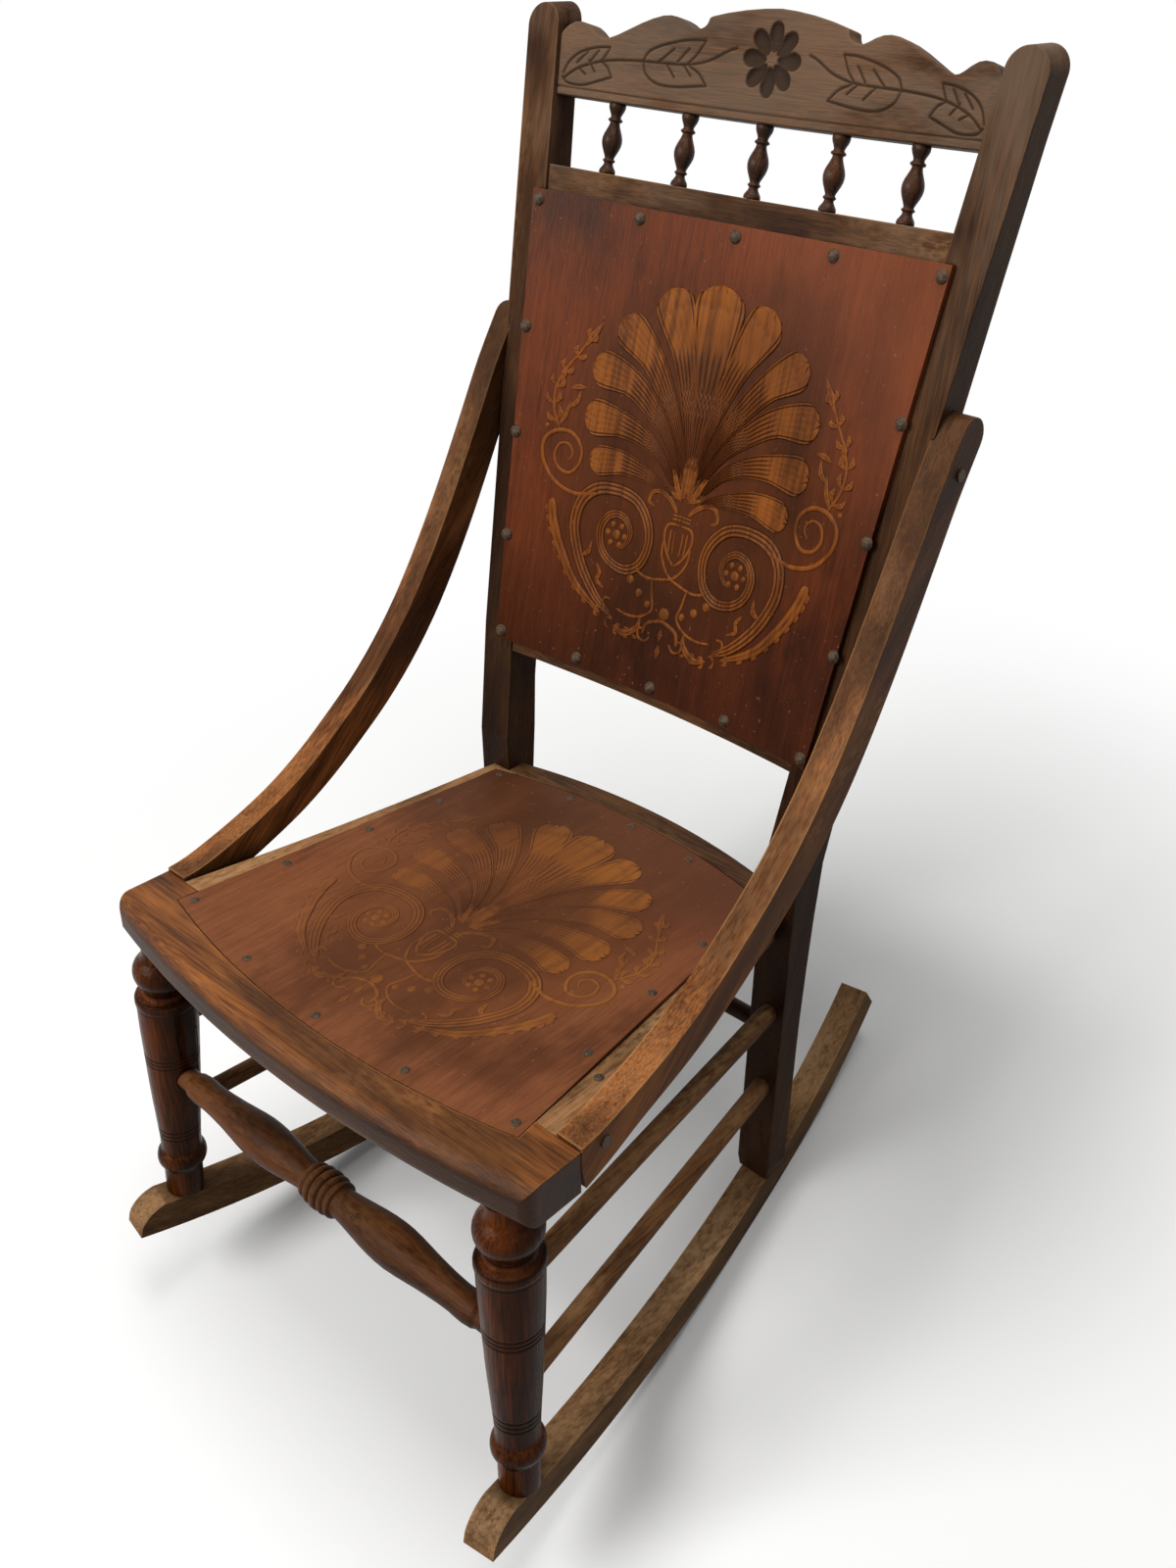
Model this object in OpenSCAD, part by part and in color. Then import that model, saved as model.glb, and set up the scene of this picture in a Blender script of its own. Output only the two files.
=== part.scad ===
// Rocking chair on two curved runners, every wooden piece a node of its own.
// The chair is drawn with its seat level (x right, y to the back, z up from the
// top of the seat) and is tipped back as one body at the end, so that it stands
// on the lowest point of its runners.

/* [Whole chair] */
// how far the whole chair leans back when it stands empty on its runners, degrees
seat_tilt = 12; // [11:0.5:13]
// splay of the front legs, outward at the foot, degrees
leg_splay = 2.6; // [2:0.2:3.2]
// lean of the front legs, forward at the foot, degrees
leg_lean = 2.0; // [1.4:0.2:2.6]

/* [Seat frame] */
// length of the front rail over its ends
front_rail_length = 452; // [446:2:458]
// thickness of all the seat rails
seat_rail_thickness = 34; // [32:1:36]
// distance of the front rail's nose from the seat middle, at the centre line
front_nose_reach = 203; // [200:1:206]
// distance of the front rail's back face from the seat middle
front_rail_back = 133; // [131:1:135]
// width of the side rails
side_rail_width = 30; // [27:1:31]
// thickness of the seat panel
seat_panel_thickness = 4; // [3:0.5:5]

/* [Back] */
// lean of the back panel from the seat's square, degrees
back_rake = 14.2; // [13.8:0.1:14.6]
// width of a rear post
post_width = 32.5; // [31.5:0.5:33.5]
// height of the top of the rear posts above the seat
post_top = 617; // [612:1:622]
// thickness of the back panel
back_panel_thickness = 4.6; // [4:0.2:5]
// thickness of the crest rail
crest_thickness = 17; // [16:0.5:18]
// thickness of the two rails behind the back panel
back_rail_thickness = 15; // [14:0.5:16]

/* [Legs, stretchers and runners] */
// diameter of the front leg's swelling under its collar
leg_swell = 45; // [43:1:47]
// diameter of the side stretchers
side_stretcher_width = 16; // [15:0.5:17]
// diameter of the rear stretcher
rear_stretcher_width = 15; // [14:0.5:16]
// radius of the underside of the runners, where they meet the floor
runner_radius = 900; // [880:5:920]
// radius of the underside of the runners' rising tails
runner_tail_radius = 470; // [460:5:500]
// height of a runner's section
runner_height = 28; // [26:1:29]
// width of a runner's section
runner_width = 26; // [25:0.5:28]

/* [Arms] */
// thickness of an arm
arm_thickness = 22; // [21:0.5:23]

/* [Hidden] */
// general working allowances
fit = 0.3;
over = 5;
deep = 400;
$fn = 96;
fine_arc = 360;

// seat rails, as seen from above
half_front = front_rail_length / 2;
nose_sag_at_end = 15;
nose_end_half = 184;
nose_arc = (nose_end_half * nose_end_half + nose_sag_at_end * nose_sag_at_end) / (2 * nose_sag_at_end);
nose_round_share = 0.36;
nose_round = seat_rail_thickness * nose_round_share;
nose_reach = 110;
nose_turn = 14;
front_corner_round = 12;
rail_under = -seat_rail_thickness;
side_outer_front = 204.2;
side_outer_rear = 159.4;
post_front_y = 157;
side_front_y = -front_rail_back;
rear_rail_front_y = 150;
rear_rail_end_y = 174;
rear_rail_back_y = 192.5;
rear_end_half = 140.2;
rear_inner_half = 128.8;
rear_bow = rear_rail_back_y - rear_rail_end_y;
rear_arc = (rear_end_half * rear_end_half + rear_bow * rear_bow) / (2 * rear_bow);
rear_post_clear_y = post_front_y + 0.6;

// seat panel, as seen from above
panel_front_half = 187;
panel_front_corner_y = -150;
panel_front_mid_y = -172.7;
panel_back_half = 151;
panel_back_corner_y = 150.5;
panel_back_mid_y = 171.5;
panel_front_sag = panel_front_corner_y - panel_front_mid_y;
panel_front_arc = (panel_front_half * panel_front_half + panel_front_sag * panel_front_sag)
    / (2 * panel_front_sag);
panel_back_sag = panel_back_mid_y - panel_back_corner_y;
panel_back_arc = (panel_back_half * panel_back_half + panel_back_sag * panel_back_sag)
    / (2 * panel_back_sag);
rabbet_gap = 0.8;
function panel_side(y) = panel_front_half
    + (panel_back_half - panel_front_half) * (y - panel_front_corner_y)
    / (panel_back_corner_y - panel_front_corner_y);
seat_nails = [[177, -142], [88, -157.5], [0, -163], [166, -64], [157, 12], [147.5, 80],
    [142, 146], [68, 158.5], [0, 163]];
seat_head = 7;
seat_head_rise = 0.9;
seat_shank = 2.2;
seat_shank_length = 14;
rail_nail = [186.5, -75];
rail_nail_drop = 2.2;
side_dish = 3;
side_dish_radius = 3400;
side_dish_y = 0;

// tenons of the seat frame
tenon_height = 16;
tenon_width = 10;
tenon_into_front = 18;
tenon_into_post = 8;
rear_tenon = 9;
rear_tenon_height = 18;
rear_tenon_depth = 6;
rear_tenon_y = 170.2;
side_tenon_rear_x = 149.5;

// rear post, seen from the side (y, z) and from the front (x, z)
post_bend_z = 31;
post_foot_z = -292;
post_foot_x = 152;
post_seat_x = 159.5;
post_spread_share = 0.0973;
post_lean_share = 0.238;
post_top_drawn = 617;
rise = post_top - post_top_drawn;
back_rise = rise / cos(back_rake);
post_top_x = post_seat_x + post_spread_share * (post_top - post_bend_z);
function raised(y, z) = [y + rise * post_lean_share, z + rise];
post_side = [
    [post_front_y, post_foot_z],
    [post_front_y, post_bend_z],
    [162.6, 60],
    [175.4, 127],
    raised(256.3, 470),
    raised(291.3, post_top_drawn),
    raised(318, post_top_drawn),
    raised(303.5, 560),
    raised(284.5, 470),
    raised(262, 360),
    [234, 240],
    [211, 140],
    [198, 78],
    [191.5, 30],
    [187, -20],
    [184, -72],
    [182, -125],
    [181.5, -200],
    [181.5, post_foot_z]];
foot_over = 20;
foot_chamfer = 3.5;
foot_chamfer_height = 14;

// runners: centre line runs inward to the back
runner_front_x = 204.4;
runner_front_y = -175;
runner_rear_x = 152;
runner_rear_y = 170;
runner_toe = atan((runner_front_x - runner_rear_x) / (runner_rear_y - runner_front_y));
runner_depth = 336;
runner_arc_z = runner_radius - runner_depth;
// the chair's centre of mass in the level chair, which must stand over the point of contact
mass_y = 80.8;
mass_z = 65.9;
runner_arc_y = mass_y - (runner_arc_z - mass_z) * tan(seat_tilt);
runner_join_y = 200;
runner_front_end = -222;
runner_nose_drop = 2;
runner_nose_blend = 0.7;
runner_rear_end = 356;
far_share = 1.2;
join_overlap = 0.5;
tail_slimmer = 0.1;
toe_share = sin(runner_toe) * sin(seat_tilt);

// where a point of the runner's top lies, for a given y
function run_top(y) = runner_arc_z
    - sqrt(pow(runner_radius - runner_height, 2) - pow((y - runner_arc_y) / cos(runner_toe), 2));
function run_x(y) = runner_front_x
    - (runner_front_x - runner_rear_x) * (y - runner_front_y) / (runner_rear_y - runner_front_y);
function run_low(y) = runner_arc_z
    - sqrt(pow(runner_radius, 2) - pow((y - runner_arc_y) / cos(runner_toe), 2));

// front leg axis
leg_ref_x = 198.5;
leg_ref_y = -170;
leg_ref_z = -157;
leg_foot_y = leg_ref_y + (run_top(leg_ref_y) - leg_ref_z) * tan(leg_lean);
leg_foot_z = run_top(leg_foot_y) + fit;
leg_under_rail = rail_under - fit;
leg_tenon = 24;
leg_tenon_length = 22;
leg_pin = 13;
leg_pin_length = 15;
leg_end_z = -335;
leg_foot_radius = 14.6;
leg_swell_drawn = 45;
leg_share = leg_swell / leg_swell_drawn;
upper_leg_drawn = 22.9;
middle_leg_drawn = 20.9;
lower_leg_drawn = 19.2;
upper_leg_radius = upper_leg_drawn * leg_share;
middle_leg_radius = middle_leg_drawn * leg_share;
lower_leg_radius = lower_leg_drawn * leg_share;
pin_width = 13;
post_pin_length = 14;

// outline of the turned front leg below its tenon: radius, height
leg_profile = [[16, leg_under_rail], [15.8, -38], [16.2, -43], [17.6, -46.5], [20, -49], [22.2, -52],
    [23.5, -55.5], [23.9, -59], [23.6, -62.5], [22.6, -66], [20.8, -69.4], [18.8, -72.2], [17.6, -75],
    [17.4, -77.5], [18.4, -79.6], [21, -81], [23.6, -82.2], [24.3, -84], [24.4, -87.5], [24, -89.6],
    [23.2, -90.6], [23.4, -93], [23.1, -104], [22.7, -118], [22.1, -131], [21.8, -137.8],
    [20.8, -138.5], [21.7, -139.4], [21.6, -141.8], [20.6, -142.5],
    [21.5, -143.4], [21.4, -145.8], [20.4, -146.5], [21.3, -147.4], [20.9, -157],
    [20.2, -172], [19.2, -190], [18.1, -206], [17.3, -218.3], [16.3, -219],
    [17.2, -219.8], [17, -222.8], [16, -223.5], [16.9, -224.3], [16.7, -227.3],
    [15.7, -228], [16.6, -228.8], [16.3, -237], [16.2, -244], [16.6, -246.4],
    [18, -248], [19.2, -250.3], [19.8, -253], [19.9, -255.5], [19.6, -258.2], [18.7, -260.6],
    [17.2, -262.6], [15.8, -264], [15.3, -266.5], [15.4, -274], [15.3, -286], [14.9, -298],
    [leg_foot_radius, -308], [leg_foot_radius, leg_end_z]];

// front stretcher and side stretchers
front_stretcher_z = -161;
upper_side_z = -112;
lower_side_front_z = -205;
lower_side_rear_z = -186.5;
upper_side_rear_z = -107.5;
stretcher_into_leg = 11;
stretcher_into_post = 12;
rear_stretcher_z = -134;
rear_stretcher_y = 169;
front_tip_width = 18;

// half outline of the turned front stretcher, from its middle: radius, distance
front_stretcher_profile = [[16, 0], [15.9, 1.6], [15, 3], [13.2, 3.9], [13.1, 4.6], [14.4, 5.4],
    [15.4, 6.8], [15.5, 8.4], [14.7, 10], [13, 11], [12.9, 11.8], [13.9, 12.8], [14.4, 14.2],
    [14.3, 15.6], [13.2, 16.8], [11.6, 17.6], [11.3, 19], [11.7, 23], [12.7, 32], [14.1, 43],
    [15.5, 54], [16.4, 64], [16.8, 73], [16.7, 82], [15.9, 92], [14.7, 102], [13.4, 113], [12.5, 123],
    [11.8, 132], [11.4, 140], [11.3, 146], [11.6, 152], [11.6, 158], [10.8, 165],
    [front_tip_width / 2, 169]];

function leg_x(z) = leg_ref_x - (z - leg_ref_z) * tan(leg_splay);
function leg_y(z) = leg_ref_y + (z - leg_ref_z) * tan(leg_lean);
function post_x(z) = z < post_bend_z
    ? post_foot_x + (post_seat_x - post_foot_x) * (z - post_foot_z) / (post_bend_z - post_foot_z)
    : post_seat_x + (post_top_x - post_seat_x) * (z - post_bend_z) / (post_top - post_bend_z);

// back: local frame, x right, y square to the panel, z up along it
back_foot_y = 138.1;
back_bow = 1000;
bow_half = 260;
bow_room = 130;
slab_room = 30;
panel_front_w = 14.2;
upper_rail_drawn = 517;
panel_half_top_drawn = 196;
back_panel_bottom = 124.5;
upper_rail_top = upper_rail_drawn + back_rise;
upper_rail_depth = 45;
upper_rail_bottom = upper_rail_top - upper_rail_depth;
panel_below_rail_top = 20;
back_panel_top = upper_rail_top - panel_below_rail_top;
back_panel_half_bottom = 165.5;
back_panel_half_top = panel_half_top_drawn + rise * post_spread_share;
rail_front_w = panel_front_w + back_panel_thickness + fit;
rail_bow = back_bow + back_panel_thickness + fit;
lower_rail_bottom = 115.5;
lower_rail_top = 150;
back_tenon_height = 26;
back_tenon_width = 8;
back_tenon_length = 10;
upper_tenon_w = 10;
lower_tenon_w = 16;
nail_row_inset = 28.5;
low_nail_v = 131.3;
high_nail_v = upper_rail_top - nail_row_inset;
// side nails: share of the height between the two rows, distance inside the post's middle
side_nails = [[1, 13], [0.72, 9.6], [0.478, 7.5], [0.234, 6.3], [0, 7.9]];
function nail_v(share) = low_nail_v + share * (high_nail_v - low_nail_v);
back_nails = concat([[0, high_nail_v], [92, high_nail_v], [0, low_nail_v], [80, low_nail_v]],
    [for (n = side_nails) [post_x(nail_v(n[0]) * cos(back_rake)) - n[1], nail_v(n[0])]]);
back_head = 10.6;
back_head_rise = 3.4;
back_shank = 2.4;
back_shank_length = 15;

// crest rail and spindles
crest_bow = 1250;
crest_front_w = 17;
spindle_length = 53;
crest_bottom = upper_rail_top + spindle_length;
crest_drawn_bottom = 570;
crest_lift = crest_bottom - crest_drawn_bottom;
crest_drawn_half = 194;
crest_widen = 1 + rise * post_spread_share / crest_drawn_half;
crest_room = 90;
crest_tenon_length = 9;
crest_tenon_height = 20;
crest_tenon_width = 8;
crest_tenon_inset = 22;
crest_tenon_v = crest_bottom + crest_tenon_inset;
crest_tenon_w = 10.5;
spindle_w = crest_front_w + 7.5;
spindle_pitch = 70;
spindle_tip = 6.5;
spindle_tip_length = 8;

// outline of a back spindle above the upper rail: radius, height
spindle_profile = [[6.4, fit], [6.6, 1.4], [6.2, 3.2], [5, 5], [3.9, 6.8], [3.5, 8.4], [4.4, 9.2],
    [5.1, 10], [4.6, 10.9], [3.7, 11.6], [4, 13], [5.2, 15.6], [6.6, 18.6], [7.6, 21.6], [8, 24.4],
    [7.8, 27.2], [7, 30], [5.8, 32.8], [4.7, 35.4], [4, 37.6], [3.9, 38.8], [5.2, 39.5], [5.8, 40.4],
    [5.4, 41.4], [4.2, 42.2], [4, 43.4], [4.8, 45.4], [5.9, 47.6], [6.6, 49.6], [6.7, 51.4],
    [6.5, spindle_length - fit]];

crest_drawn = [[0, 648.5], [14, 647.6], [30, 645.6], [46, 642.6], [58, 639.6], [61.2, 638.4],
    [62.2, 635], [64, 632.4], [67.5, 630.2], [72, 629.4], [76, 629.9], [80, 631.6], [85, 634.3],
    [91, 636.4], [97, 637], [104, 636.2], [113, 633.4], [123, 629.2], [134, 623.8], [144, 618.9],
    [151, 616.2], [156, 615.2], [160, 615.8], [164, 618.2], [168, 621.4], [173, 624.2], [178, 625.2],
[184, 624.6], [189, 622], [194, 617.8], [200, 609]];
crest_right = [for (c = crest_drawn) [c[0] * crest_widen, c[1] + crest_lift]];
crest_line_inset = 5.5;
crest_line_low = crest_bottom + crest_line_inset;
crest_line_cut = 1;
crest_line_width = 1.3;

// arms: centre line (y, z) from foot to top, and its half depth there
arm_line = [[-132.6, -15.5], [-111.7, -10.4], [-83, 0.2], [-53, 11.4], [-22.8, 24.8], [8, 43],
    [38.3, 65], [67.4, 88.4], [95.3, 115.9], [121.4, 147.4], [144.6, 181.4], [166.7, 218.1],
    [187.4, 255.8], [208.8, 296.8], [229.4, 336.8], [251.3, 373]];
arm_half = [18.2, 16, 13.8, 13.4, 13.6, 14, 14.4, 14.8, 15.2, 15.4, 15.4, 15.2, 14.9, 14.6, 14.4, 14.2];
arm_inner_x = 204.5;
arm_lean = 0.3;
arm_steps = 3;
arm_end_turn = 15;
arm_screw_head = 9;
arm_screw_rise = 1.2;
arm_screw_length = 38;
arm_screw_shank = 4;
arm_top_screw = [240, 349];
arm_foot_screw = [-111, -6];

wood_dark = [0.25, 0.14, 0.09];
wood_mid = [0.36, 0.2, 0.11];
wood_red = [0.34, 0.16, 0.09];
panel_red = [0.35, 0.17, 0.11];
iron = [0.32, 0.28, 0.24];

// ---- placing ----

// tips the chair back about the seat middle and sets it on the floor plane
floor_lift = runner_radius * sqrt(1 - toe_share * toe_share) + runner_width / 2 * toe_share
    - runner_arc_z * cos(seat_tilt) + runner_arc_y * sin(seat_tilt);
centre_shift = -83.85;
module stand() {
    translate([0, centre_shift, floor_lift])
        rotate([-seat_tilt, 0, 0])
            children();
}

module both() {
    children();
    mirror([1, 0, 0])
        children();
}

module back_frame() {
    translate([0, back_foot_y, 0])
        rotate([-back_rake, 0, 0])
            children();
}

// a thick shell bowed backward: front face at w in the middle, inner radius r
module bowed(w, r, thick, low, high) {
    intersection() {
        translate([0, w - r, low])
            difference() {
                cylinder(r = r + thick, h = high - low, $fn = fine_arc);
                translate([0, 0, -over])
                    cylinder(r = r, h = high - low + 2 * over, $fn = fine_arc);
            }
        translate([-bow_half, w - bow_room, low - over])
            cube([2 * bow_half, 2 * bow_room, high - low + 2 * over]);
    }
}

function bow_w(w, r, x) = w - r + sqrt(r * r - x * x);

// sets a thing on the panel's front face, square to it: its own z points forward
module on_panel(x, v) {
    translate([0, panel_front_w - back_bow, v])
        rotate([0, 0, -asin(x / back_bow)])
            translate([0, back_bow, 0])
                rotate([90, 0, 0])
                    children();
}

module rod(a, b, d) {
    reach = b - a;
    span = norm(reach);
    translate(a)
        rotate([0, acos(reach[2] / span), atan2(reach[1], reach[0])])
            cylinder(h = span, d = d);
}

// all that lies between the inner faces of the two upper posts, less a gap
module between_posts(gap) {
    low_z = post_bend_z;
    high_z = post_top + foot_over;
    low_x = post_x(low_z) - post_width / 2 - gap;
    high_x = post_x(high_z) - post_width / 2 - gap;
    translate([0, deep, 0])
        rotate([90, 0, 0])
            linear_extrude(height = deep)
                polygon([[-low_x, low_z], [low_x, low_z], [high_x, high_z], [-high_x, high_z]]);
}

// ---- seat frame ----

module panel_plan(grow) {
    intersection() {
        translate([0, panel_front_mid_y + panel_front_arc])
            circle(r = panel_front_arc + grow, $fn = fine_arc);
        translate([0, panel_back_mid_y - panel_back_arc])
            circle(r = panel_back_arc + grow, $fn = fine_arc);
        polygon([
            [-panel_side(-deep) - grow, -deep],
            [panel_side(-deep) + grow, -deep],
            [panel_side(deep) + grow, deep],
            [-panel_side(deep) - grow, deep]]);
    }
}

module panel_rabbet() {
    translate([0, 0, -seat_panel_thickness - fit])
        linear_extrude(height = seat_panel_thickness + over)
            panel_plan(rabbet_gap);
}

module seat_nail_bore(x, y) {
    translate([x, y, -seat_shank_length - fit])
        cylinder(d = seat_shank + 2 * fit, h = seat_shank_length + over);
}

module seat_nail_bores() {
    both()
        for (n = seat_nails)
            seat_nail_bore(n[0], n[1]);
}

module leg_axis() {
    translate([leg_ref_x, leg_ref_y, leg_ref_z])
        rotate([-leg_lean, -leg_splay, 0])
            translate([0, 0, -leg_ref_z])
                children();
}

module leg_sockets(grow) {
    both()
        leg_axis()
            translate([0, 0, rail_under - over])
                cylinder(d = leg_tenon + 2 * grow, h = leg_tenon_length + over + grow);
}

// section of the front rail: distance from the nose arc's centre, height
module nose_section() {
    start = nose_arc - nose_reach;
    translate([start, rail_under])
        square([nose_reach - nose_round, seat_rail_thickness]);
    translate([start, rail_under + nose_round])
        square([nose_reach, seat_rail_thickness - 2 * nose_round]);
    translate([nose_arc - nose_round, -nose_round])
        circle(r = nose_round);
    translate([nose_arc - nose_round, rail_under + nose_round])
        circle(r = nose_round);
}

module front_rail_plan() {
    corner_x = half_front - front_corner_round;
    corner_y = nose_arc - front_nose_reach - sqrt(nose_arc * nose_arc - corner_x * corner_x)
        + front_corner_round;
    translate([-corner_x, -front_nose_reach - over])
        square([2 * corner_x, front_nose_reach + over - front_rail_back]);
    translate([-half_front, corner_y])
        square([2 * half_front, -front_rail_back - corner_y]);
    translate([-corner_x, corner_y])
        circle(r = front_corner_round);
    translate([corner_x, corner_y])
        circle(r = front_corner_round);
}

module side_front_tenon(grow) {
    translate([side_outer_front - side_rail_width / 2 - tenon_width / 2 - grow,
        side_front_y - tenon_into_front - grow, rail_under / 2 - tenon_height / 2 - grow])
        cube([tenon_width + 2 * grow, tenon_into_front + over + grow, tenon_height + 2 * grow]);
}

module side_rear_tenon(grow) {
    translate([side_tenon_rear_x - tenon_width / 2 - grow, post_front_y - over,
        rail_under / 2 - tenon_height / 2 - grow])
        cube([tenon_width + 2 * grow, tenon_into_post + over + grow, tenon_height + 2 * grow]);
}

module seat_front_rail() {
    color(wood_mid)
        stand()
            difference() {
                intersection() {
                    translate([0, nose_arc - front_nose_reach, 0])
                        rotate([0, 0, -90 - nose_turn])
                            rotate_extrude(angle = 2 * nose_turn, $fn = fine_arc)
                                nose_section();
                    translate([0, 0, rail_under - over])
                        linear_extrude(height = seat_rail_thickness + 2 * over)
                            front_rail_plan();
                }
                panel_rabbet();
                seat_nail_bores();
                leg_sockets(fit);
                both()
                    side_front_tenon(fit);
            }
}

module side_rail_body() {
    front_y = side_front_y + fit;
    rear_y = post_front_y - fit;
    difference() {
        translate([0, 0, rail_under])
            linear_extrude(height = seat_rail_thickness)
                polygon([[side_outer_front - side_rail_width, front_y], [side_outer_front, front_y],
                    [side_outer_rear, rear_y], [side_outer_rear - side_rail_width, rear_y]]);
        panel_rabbet();
        seat_nail_bores();
        translate([0, side_dish_y, side_dish_radius - side_dish])
            rotate([0, 90, 0])
                cylinder(r = side_dish_radius, h = deep, $fn = fine_arc);
        arm_screw_bore(arm_foot_screw);
    }
    side_front_tenon(0);
    side_rear_tenon(0);
}

module seat_side_rail_left() {
    color(wood_dark)
        stand()
            mirror([1, 0, 0])
                side_rail_body();
}

module seat_side_rail_right() {
    color(wood_dark)
        stand()
            difference() {
                side_rail_body();
                seat_nail_bore(rail_nail[0], rail_nail[1]);
            }
}

module rear_tenons(grow) {
    both()
        translate([rear_inner_half - over, rear_tenon_y - rear_tenon_depth / 2 - grow,
            rail_under / 2 - rear_tenon_height / 2 - grow])
            cube([rear_end_half - rear_inner_half + over + rear_tenon + grow,
                rear_tenon_depth + 2 * grow, rear_tenon_height + 2 * grow]);
}

module seat_rear_rail() {
    end_x = post_x(rail_under) - post_width / 2 - fit;
    color(wood_dark)
        stand() {
            difference() {
                translate([0, 0, rail_under])
                    linear_extrude(height = seat_rail_thickness)
                        intersection() {
                            translate([0, rear_rail_back_y - rear_arc])
                                circle(r = rear_arc, $fn = fine_arc);
                            union() {
                                translate([-rear_inner_half, rear_rail_front_y])
                                    square([2 * rear_inner_half, deep]);
                                translate([-end_x, rear_post_clear_y])
                                    square([2 * end_x, deep]);
                            }
                        }
                panel_rabbet();
                seat_nail_bores();
            }
            rear_tenons(0);
        }
}

module seat_panel() {
    color(panel_red)
        stand()
            difference() {
                translate([0, 0, -seat_panel_thickness])
                    linear_extrude(height = seat_panel_thickness)
                        panel_plan(0);
                seat_nail_bores();
            }
}

module domed_nail(head, rise, shank, shank_length) {
    ball = (head * head / 4 + rise * rise) / (2 * rise);
    translate([0, 0, fit])
        intersection() {
            translate([0, 0, rise - ball])
                sphere(r = ball);
            cylinder(d = head, h = rise);
        }
    translate([0, 0, -shank_length])
        cylinder(d = shank, h = shank_length + 2 * fit);
}

module seat_panel_nails() {
    color(iron)
        stand() {
            for (n = seat_nails) {
                translate([n[0], n[1], 0])
                    domed_nail(seat_head, seat_head_rise, seat_shank, seat_shank_length);
                if (n[0] > 0)
                    translate([-n[0], n[1], 0])
                        domed_nail(seat_head, seat_head_rise, seat_shank, seat_shank_length);
            }
            translate([rail_nail[0], rail_nail[1], -rail_nail_drop])
                domed_nail(seat_head, seat_head_rise, seat_shank, seat_shank_length - rail_nail_drop);
        }
}

// ---- rear posts ----

// all that lies above the top face of the right runner, less a gap
module above_runner(gap) {
    translate([runner_front_x, runner_front_y, 0])
        rotate([0, 0, runner_toe])
            translate([-deep / 2, (runner_arc_y - runner_front_y) / cos(runner_toe), runner_arc_z])
                rotate([0, 90, 0])
                    cylinder(r = runner_radius - runner_height - gap, h = deep, $fn = fine_arc);
}

module post_front_view() {
    half = post_width / 2;
    top_z = post_top - half;
    foot_x = post_x(post_foot_z);
    polygon([
        [foot_x - half + foot_chamfer, post_foot_z - foot_over],
        [foot_x + half - foot_chamfer, post_foot_z - foot_over],
        [foot_x + half - foot_chamfer, post_foot_z],
        [foot_x + half, post_foot_z + foot_chamfer_height],
        [post_x(post_bend_z) + half, post_bend_z],
        [post_x(top_z) + half, top_z],
        [post_x(top_z) - half, top_z],
        [post_x(post_bend_z) - half, post_bend_z],
        [foot_x - half, post_foot_z + foot_chamfer_height],
        [foot_x - half + foot_chamfer, post_foot_z]]);
    translate([post_x(top_z), top_z])
        circle(r = half);
}

module post_side_view() {
    count = len(post_side);
    polygon(concat([[post_side[0][0], post_foot_z - foot_over]],
        [for (i = [1:count - 2]) post_side[i]],
        [[post_side[count - 1][0], post_foot_z - foot_over]]));
}

module post_pin(grow) {
    foot_y = (post_side[0][0] + post_side[len(post_side) - 1][0]) / 2;
    translate([post_x(post_foot_z) - pin_width / 2 - grow, foot_y - pin_width / 2 - grow,
        run_top(foot_y) - post_pin_length - grow])
        cube([pin_width + 2 * grow, pin_width + 2 * grow, post_pin_length + over + grow]);
}

module post_body() {
    difference() {
        intersection() {
            translate([0, deep, 0])
                rotate([90, 0, 0])
                    linear_extrude(height = deep)
                        post_front_view();
            rotate([90, 0, 90])
                linear_extrude(height = deep)
                    post_side_view();
            above_runner(fit);
        }
        rear_tenons(fit);
        side_rear_tenon(fit);
        side_stretcher(true, fit);
        side_stretcher(false, fit);
        rear_stretcher_rod(fit);
        arm_solid(fit);
        arm_screw_bore(arm_top_screw);
        back_frame() {
            panel_slab(slab_room, fit);
            rail_tenons(upper_rail_v, upper_tenon_w, fit);
            rail_tenons(lower_rail_v, lower_tenon_w, fit);
            crest_tenons(fit);
            back_nail_bores();
        }
    }
    post_pin(0);
}

module rear_post_left() {
    color(wood_dark)
        stand()
            mirror([1, 0, 0])
                post_body();
}

module rear_post_right() {
    color(wood_dark)
        stand()
            post_body();
}

// ---- front legs ----

module leg_section() {
    polygon(concat([[0, rail_under + leg_tenon_length], [leg_tenon / 2, rail_under + leg_tenon_length],
        [leg_tenon / 2, leg_under_rail]], [for (p = leg_profile) [p[0] * leg_share, p[1]]],
        [[0, leg_end_z]]));
}

module leg_foot_pin(grow) {
    leg_axis()
        translate([0, 0, leg_foot_z - leg_pin_length - grow])
            cylinder(d = leg_pin + 2 * grow, h = leg_pin_length + over + grow);
}

module leg_body() {
    difference() {
        intersection() {
            leg_axis()
                rotate_extrude()
                    leg_section();
            above_runner(fit);
        }
        side_stretcher(true, fit);
        side_stretcher(false, fit);
        front_stretcher_bore();
    }
    leg_foot_pin(0);
}

module front_leg_left() {
    color(wood_red)
        stand()
            mirror([1, 0, 0])
                leg_body();
}

module front_leg_right() {
    color(wood_red)
        stand()
            leg_body();
}

// ---- stretchers ----

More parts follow.
